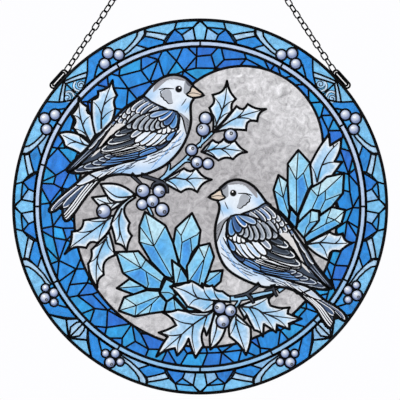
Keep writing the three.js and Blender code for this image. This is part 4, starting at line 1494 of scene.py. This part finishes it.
PLAIN_TILES = {"border": "border_tiles", "band": "band_strips", "mosaic": "mosaic_tiles", "sky": "sky_tiles"}
for kind, tiles in PLAIN_TILES.items():
    glass_object(tiles, [kind], MATERIALS[kind], nodes_with(kind + "_glass"))
leaf_nodes = nodes_with("leaf_", "leaves_")
glass_object("leaf_tiles", ["leaf", "twig"], MATERIALS["leaf"], leaf_nodes)
crystal_nodes = nodes_with("crystals_")
glass_object("crystal_tiles", ["crystal"], MATERIALS["crystal"], crystal_nodes)
glass_object(
    "bird_tiles",
    ["plumage", "tail", "back", "wing", "beak", "foot"],
    MATERIALS["plumage"],
    nodes_with("upper_bird", "lower_bird"),
)
front_beads = bead_object("solder_front", 1)
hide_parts("lead_lines")
bead_object("solder_back", -1)


# Geometry node trees.


class Tree:
    """A geometry node tree with named inputs, run once on a mesh."""

    def __init__(self, name):
        self.tree = bpy.data.node_groups.new(name, "GeometryNodeTree")
        self.tree.interface.new_socket("Geometry", in_out="INPUT", socket_type="NodeSocketGeometry")
        self.tree.interface.new_socket("Geometry", in_out="OUTPUT", socket_type="NodeSocketGeometry")
        self.inputs = self.tree.nodes.new("NodeGroupInput")
        self.output = self.tree.nodes.new("NodeGroupOutput")
        self.sizes = {}

    def size(self, name, value):
        kind = "NodeSocketInt" if isinstance(value, int) else "NodeSocketFloat"
        socket = self.tree.interface.new_socket(name, in_out="INPUT", socket_type=kind)
        self.sizes[socket.identifier] = value
        return self.inputs.outputs[name]

    def node(self, kind, settings=None, inputs=None):
        node = self.tree.nodes.new(kind)
        for key, value in (settings or {}).items():
            setattr(node, key, value)
        for key, value in (inputs or {}).items():
            if isinstance(value, bpy.types.NodeSocket):
                self.tree.links.new(value, node.inputs[key])
            else:
                node.inputs[key].default_value = value
        return node

    def run(self, name, base, instances, material):
        """Realizes the instances, sets their material and gives a plain object."""
        real = self.node("GeometryNodeRealizeInstances", {}, {0: instances})
        inputs = {"Geometry": real.outputs[0], "Material": material}
        dressed = self.node("GeometryNodeSetMaterial", {}, inputs)
        self.tree.links.new(dressed.outputs[0], self.output.inputs[0])
        modifier = base.modifiers.new(name, "NODES")
        modifier.node_group = self.tree
        for identifier, value in self.sizes.items():
            modifier[identifier] = value
        graph = bpy.context.evaluated_depsgraph_get()
        mesh = bpy.data.meshes.new_from_object(base.evaluated_get(graph), depsgraph=graph)
        mesh.name = name
        base.modifiers.remove(modifier)
        spare = base.data
        base.data = mesh
        bpy.data.meshes.remove(spare)
        base.name = name
        return base


def points_object(name, places, **values):
    """A mesh of loose points, with a named value for each."""
    mesh = bpy.data.meshes.new(name)
    mesh.from_pydata(places, [], [])
    for key, numbers in values.items():
        attribute = mesh.attributes.new(key, "FLOAT", "POINT")
        attribute.data.foreach_set("value", list(numbers))
    obj = bpy.data.objects.new(name, mesh)
    bpy.context.scene.collection.objects.link(obj)
    return obj


# Nuggets: one dome is repeated, and each point keeps its place on the dome for its painted shading.


HIDDEN_CALYX = (3.0, 3.0)
DOME_HEIGHT = 3.5


def nugget_material():
    """Pearly glass with a painted highlight on the upper left and painted shade away from it, and the calyx
    as a dark ring.
    """
    shader = Shader("pearl_glass")
    spot = shader.attribute("dome", "Vector")
    split = shader.node("ShaderNodeSeparateXYZ", {}, {0: spot})
    up = Value(shader, split.outputs[2])
    # Painted highlight: the colour is palest near this place on the dome, up and to the left, and darker
    # away from it and lower down.
    painted_highlight_reach = shader.distance(spot, (-0.16, -0.9, 0.3))
    shade = painted_highlight_reach + (shader.noise(220, 2) - 0.5) * 0.18
    # Painted light and shade, from a white highlight through lavender to a darker blue on the shaded side.
    light = shader.node(
        "ShaderNodeValToRGB",
        {
            "stops": [
                (0.08, (*linear("#fbfcfe"), 1)),
                (0.34, (*linear("#cdd6e6"), 1)),
                (0.66, (*linear("#adb9d4"), 1)),
                (0.98, (*linear("#788cba"), 1)),
            ]
        },
        {0: shade * (0.95 - up * 0.2)},
    )
    calyx = shader.attribute("calyx", "Vector")
    flat = shader.node("ShaderNodeVectorMath", {"operation": "MULTIPLY"}, {0: spot, 1: (1, 0, 1)})
    near = shader.distance(flat.outputs[0], calyx)
    mask = shader.ramp_down(near, 0.34, 0.28) - shader.ramp_down(near, 0.15, 0.09) * 0.6
    shader.set(Base_Color=shader.mix(light.outputs[0], (*linear("#06070c"), 1), mask))
    shader.set(Roughness=0.08, IOR=1.5, Transmission_Weight=0.15, Coat_Weight=1.0, Coat_Roughness=0.03)
    return shader.material


def make_nuggets():
    """Every nugget is one dome, scaled to its radius and marked with its calyx's place."""
    places = [placed(x, y, 0.3) for (x, y), _, _ in nuggets]
    radii = [radius * MM for _, radius, _ in nuggets]
    spots = [calyx or HIDDEN_CALYX for _, _, calyx in nuggets]
    base = points_object(
        "nuggets", places, radius=radii, calyx_x=[x for x, _ in spots], calyx_z=[z for _, z in spots]
    )
    tree = Tree("repeated_nugget")
    height = tree.size("Dome height", DOME_HEIGHT * MM)
    ball = tree.node("GeometryNodeMeshUVSphere", {}, {"Segments": 28, "Rings": 14, "Radius": 1.0})
    position = tree.node("GeometryNodeInputPosition")
    marked = tree.node(
        "GeometryNodeStoreNamedAttribute",
        {"data_type": "FLOAT_VECTOR", "domain": "POINT"},
        {"Geometry": ball.outputs["Mesh"], "Name": "dome", "Value": position.outputs[0]},
    )
    soft = tree.node("GeometryNodeSetShadeSmooth", {}, {"Geometry": marked.outputs[0]})
    radius, calyx_x, calyx_z = (
        tree.node("GeometryNodeInputNamedAttribute", {"data_type": "FLOAT"}, {"Name": name})
        for name in ("radius", "calyx_x", "calyx_z")
    )
    calyx = tree.node("ShaderNodeCombineXYZ", {}, {0: calyx_x.outputs[0], 2: calyx_z.outputs[0]})
    sited = tree.node(
        "GeometryNodeStoreNamedAttribute",
        {"data_type": "FLOAT_VECTOR", "domain": "POINT"},
        {"Geometry": tree.inputs.outputs[0], "Name": "calyx", "Value": calyx.outputs[0]},
    )
    scale = tree.node(
        "ShaderNodeCombineXYZ", {}, {0: radius.outputs[0], 1: height, 2: radius.outputs[0]}
    )
    spread = tree.node(
        "GeometryNodeInstanceOnPoints",
        {},
        {"Points": sited.outputs[0], "Instance": soft.outputs[0], "Scale": scale.outputs[0]},
    )
    piece = tree.run("nuggets", base, spread.outputs[0], nugget_material())
    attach(piece, "root")
    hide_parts(*nodes_with("berries_", "berry_"))


make_nuggets()


# The chain, its rings and the rim.

LINKS_PER_STRAND = 33
LINK_LENGTH = 10.2
LINK_WIDTH = 7.0
LINK_WIRE = 1.55
LINK_TILT = 34
STRAND_TOP = (3.9, -4.05)

HANGER_ANGLE = 42
HANGER_RADIUS = 202.8
HANGER_Y = 5.2
HANGER_LENGTH = 25.6
HANGER_WIRE = 1.4

# The two turns of a split ring, and the blob of solder that holds it.
TURN_BEND = 3.2
TURN_STRAIGHT = 8.6
TURN_INSET = 1.7
TURN_WIRE = 1.05
BLOB_RADII = (1.7, 1.4, 5.2)
BLOB_PLACE = (-4.2, 4.6)

MIDDLE_LINK_HEIGHT = 8
MIDDLE_LINK_HALF = 6.0
MIDDLE_LINK_BEND = 3.0
MIDDLE_LINK_WIRE = 1.3


def make_strand(side):
    """Links along one strand, which face forward, each turned a little against the last."""
    angle = HANGER_ANGLE if side > 0 else 180 - HANGER_ANGLE
    ring_x, ring_y = polar(HANGER_RADIUS, angle)
    end_x, end_y = polar((HANGER_LENGTH - HANGER_WIRE) / 2, angle + 90 * side)
    low = Vector((ring_x + end_x, HANGER_Y, ring_y + end_y + DISC_CENTRE_Z))
    high = Vector((side * STRAND_TOP[0], 0, STRAND_TOP[1]))
    way = (high - low).normalized()
    hold = HANGER_WIRE / 2 + LINK_WIRE / 2 + 0.3
    pitch = ((high - low).length + hold - LINK_WIRE) / LINKS_PER_STRAND
    places, twists = [], []
    for i in range(LINKS_PER_STRAND):
        spot = low + way * (LINK_LENGTH / 2 - hold + pitch * i)
        places.append(tuple(spot * MM))
        slow = 20 * math.sin(i * 0.42 + (0.6 if side > 0 else 2.0))
        facing = math.degrees(math.atan2(way.x, way.z))
        twists.append(math.radians(facing + (LINK_TILT if i % 2 else -LINK_TILT) + slow))
    name = "chain_links_right" if side > 0 else "chain_links_left"
    base = points_object(name, places, twist=twists)
    tree = Tree("strand_" + name)
    length = tree.size("Link length", LINK_LENGTH * MM)
    width = tree.size("Link width", LINK_WIDTH * MM)
    wire = tree.size("Wire", LINK_WIRE * MM)
    inner = {}
    for key, socket in (("length", length), ("width", width)):
        less = tree.node("ShaderNodeMath", {"operation": "SUBTRACT"}, {0: socket, 1: wire})
        inner[key] = less.outputs[0]
    frame_curve = tree.node(
        "GeometryNodeCurvePrimitiveQuadrilateral", {}, {"Width": inner["width"], "Height": inner["length"]}
    )
    corner = tree.node("ShaderNodeMath", {"operation": "MULTIPLY"}, {0: inner["width"], 1: 0.49})
    rounded = tree.node(
        "GeometryNodeFilletCurve",
        {"mode": "POLY"},
        {"Curve": frame_curve.outputs[0], "Radius": corner.outputs[0], "Count": 5},
    )
    half_wire = tree.node("ShaderNodeMath", {"operation": "MULTIPLY"}, {0: wire, 1: 0.5})
    section = tree.node(
        "GeometryNodeCurvePrimitiveCircle", {}, {"Resolution": 8, "Radius": half_wire.outputs[0]}
    )
    link = tree.node(
        "GeometryNodeCurveToMesh", {}, {"Curve": rounded.outputs[0], "Profile Curve": section.outputs[0]}
    )
    soft = tree.node("GeometryNodeSetShadeSmooth", {}, {"Geometry": link.outputs[0]})
    upright = tree.node(
        "FunctionNodeAlignRotationToVector", {"axis": "Y"}, {"Vector": tuple(way)}
    )
    twist = tree.node("GeometryNodeInputNamedAttribute", {"data_type": "FLOAT"}, {"Name": "twist"})
    turn = tree.node("ShaderNodeCombineXYZ", {}, {1: twist.outputs[0]})
    as_rotation = tree.node("FunctionNodeEulerToRotation", {}, {0: turn.outputs[0]})
    turned = tree.node(
        "FunctionNodeRotateRotation",
        {"rotation_space": "LOCAL"},
        {0: upright.outputs[0], 1: as_rotation.outputs[0]},
    )
    spread = tree.node(
        "GeometryNodeInstanceOnPoints",
        {},
        {"Points": tree.inputs.outputs[0], "Instance": soft.outputs[0], "Rotation": turned.outputs[0]},
    )
    piece = tree.run(name, base, spread.outputs[0], MATERIALS["wire"])
    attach(piece, "root")
    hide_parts("chain_right" if side > 0 else "chain_left")


def wire_loop(loop, radius, sides=10):
    """Vertices and faces of a round wire along a closed loop in a plane of constant y."""
    line = np.array(loop, dtype=float)
    count = len(line)
    vertices, faces = [], []
    for i in range(count):
        way = line[(i + 1) % count] - line[i - 1]
        way /= np.linalg.norm(way)
        out = np.cross(way, (0, 1, 0))
        for k in range(sides):
            angle = 2 * math.pi * k / sides
            spot = line[i] + radius * (math.cos(angle) * out + math.sin(angle) * np.array((0, 1, 0)))
            vertices.append(spot)
    for i in range(count):
        for k in range(sides):
            n, j = (k + 1) % sides, (i + 1) % count
            faces.append((i * sides + k, i * sides + n, j * sides + n, j * sides + k))
    return vertices, faces


def outward(obj):
    """Turns all faces outwards."""
    bpy.context.view_layer.objects.active = obj
    mesh = obj.data
    work = bmesh.new()
    work.from_mesh(mesh)
    bmesh.ops.recalc_face_normals(work, faces=work.faces)
    work.to_mesh(mesh)
    work.free()


def make_hanger(side):
    """A split ring of wire wound in two turns, held by a blob of solder behind the rim."""
    angle = HANGER_ANGLE if side > 0 else 180 - HANGER_ANGLE
    centre = np.array(polar(HANGER_RADIUS, angle))
    out = np.array(polar(1, angle))
    along = np.array([-out[1], out[0]])
    vertices, faces = [], []

    def to_world(u, v, y):
        x, z = centre + out * u + along * v
        return np.array((x, y, z + DISC_CENTRE_Z)) * MM

    def add(new_vertices, new_faces):
        start = len(vertices)
        vertices.extend(new_vertices)
        faces.extend([tuple(i + start for i in face) for face in new_faces])

    for inset, y in ((0.0, HANGER_Y - 0.5), (TURN_INSET, HANGER_Y + 0.5)):
        bend, straight = TURN_BEND - inset, TURN_STRAIGHT - 0.7 * inset
        loop = []
        for start, shift in ((0, straight), (180, -straight)):
            for i in range(13):
                u, v = polar(bend, start + 15 * i)
                loop.append(to_world(u, v + shift, y))
        add(*wire_loop(loop, TURN_WIRE * MM))
    blob_vertices, blob_faces = [], []
    rings, segments = 9, 16
    for i in range(rings + 1):
        lean = math.pi * i / rings
        for k in range(segments):
            around = 2 * math.pi * k / segments
            u = BLOB_RADII[0] * math.sin(lean) * math.cos(around) + BLOB_PLACE[0]
            y = BLOB_PLACE[1] + BLOB_RADII[1] * math.sin(lean) * math.sin(around)
            v = BLOB_RADII[2] * math.cos(lean)
            blob_vertices.append(to_world(u, v, y))
    for i in range(rings):
        for k in range(segments):
            n = (k + 1) % segments
            row, next_row = i * segments, (i + 1) * segments
            blob_faces.append((row + k, next_row + k, next_row + n, row + n))
    add(blob_vertices, blob_faces)
    name = "split_ring_right" if side > 0 else "split_ring_left"
    obj = solid_mesh(name, vertices, faces, MATERIALS["wire"], 60)
    outward(obj)
    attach(obj, "root")
    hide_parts("hanging_ring_right" if side > 0 else "hanging_ring_left")


def make_middle_link():
    """The link on the hook, with its long axis level and its upper bar over the origin."""
    half_height = (MIDDLE_LINK_HEIGHT - MIDDLE_LINK_WIRE) / 2
    centre_z = MIDDLE_LINK_WIRE / 2 - half_height
    straight = MIDDLE_LINK_HALF - MIDDLE_LINK_BEND
    loop = []
    for start, shift in ((270, straight), (90, -straight)):
        for i in range(11):
            u, v = polar(1, start + 18 * i)
            spot = (MIDDLE_LINK_BEND * u + shift, 0, half_height * v + centre_z)
            loop.append(np.array(spot) * MM)
    vertices, faces = wire_loop(loop, MIDDLE_LINK_WIRE / 2 * MM)
    obj = solid_mesh("middle_link", vertices, faces, MATERIALS["wire"], 60)
    outward(obj)
    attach(obj, "root")
    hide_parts("chain_middle_link")


def make_rim():
    """The rim came: a channel with rounded flanges, turned round the panel's axis."""
    front = [
        (RIM_INNER, -2.0),
        (RIM_INNER + 0.5, -2.75),
        (197.9, -3.0),
        (199.2, -2.9),
        (199.85, -2.2),
        (RIM_OUTER, -1.0),
    ]
    profile = front + [(radius, -y) for radius, y in front[::-1]]
    segments = 240
    vertices, faces = [], []
    for i in range(segments):
        for radius, y in profile:
            x, z = polar(radius, 360 * i / segments)
            vertices.append((x * MM, y * MM, (z + DISC_CENTRE_Z) * MM))
    count = len(profile)
    for i in range(segments):
        j = (i + 1) % segments
        for k in range(count):
            n = (k + 1) % count
            faces.append((i * count + k, i * count + n, j * count + n, j * count + k))
    obj = solid_mesh("rim_came", vertices, faces, MATERIALS["came"], 50)
    outward(obj)
    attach(obj, "root")
    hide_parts("rim")


for side in (-1, 1):
    make_strand(side)
    make_hanger(side)
make_middle_link()
make_rim()


# Floor, light and camera.


FLOOR_Z = -0.78
CAMERA_DISTANCE = 2.5
FRAME_WIDTH = 0.4254
SENSOR_WIDTH = 36


def make_stage():
    """A pale floor, two soft lamps, a pale world and a camera straight in front."""
    floor = bpy.data.meshes.new("floor")
    floor_corners = [(x, y, FLOOR_Z) for x, y in ((-2, -1.6), (2, -1.6), (2, 1.9), (-2, 1.9))]
    floor.from_pydata(floor_corners, [], [(0, 1, 2, 3)])
    obj = bpy.data.objects.new("floor", floor)
    bpy.context.scene.collection.objects.link(obj)
    pale = Shader("pale_floor")
    pale.set(Base_Color=(0.8, 0.8, 0.81, 1), Roughness=0.8)
    floor.materials.append(pale.material)

    world = bpy.data.worlds.new("studio")
    world.use_nodes = True
    world.node_tree.nodes["Background"].inputs["Color"].default_value = (0.985, 0.985, 1.0, 1)
    world.node_tree.nodes["Background"].inputs["Strength"].default_value = 1.0
    bpy.context.scene.world = world

    for name, place, size, power in (
        ("soft_left", (-0.9, -1.5, 0.5), 0.7, 9.0),
        ("soft_back", (0.8, 1.4, 0.3), 0.8, 5.0),
    ):
        light = bpy.data.lights.new(name, "AREA")
        light.energy = power
        light.size = size
        lamp = bpy.data.objects.new(name, light)
        lamp.location = place
        aim = Vector((0, 0, -0.3)) - Vector(place)
        lamp.rotation_euler = aim.to_track_quat("-Z", "Y").to_euler()
        bpy.context.scene.collection.objects.link(lamp)

    camera = bpy.data.cameras.new("camera")
    camera.sensor_width = SENSOR_WIDTH
    camera.lens = SENSOR_WIDTH * CAMERA_DISTANCE / FRAME_WIDTH
    viewer = bpy.data.objects.new("camera", camera)
    viewer.location = (-0.16 * MM, -CAMERA_DISTANCE, (DISC_CENTRE_Z + 6.9) * MM)
    viewer.rotation_euler = (math.pi / 2, 0, 0)
    bpy.context.scene.collection.objects.link(viewer)
    bpy.context.scene.camera = viewer
    bpy.context.scene.view_settings.view_transform = "Standard"


make_stage()
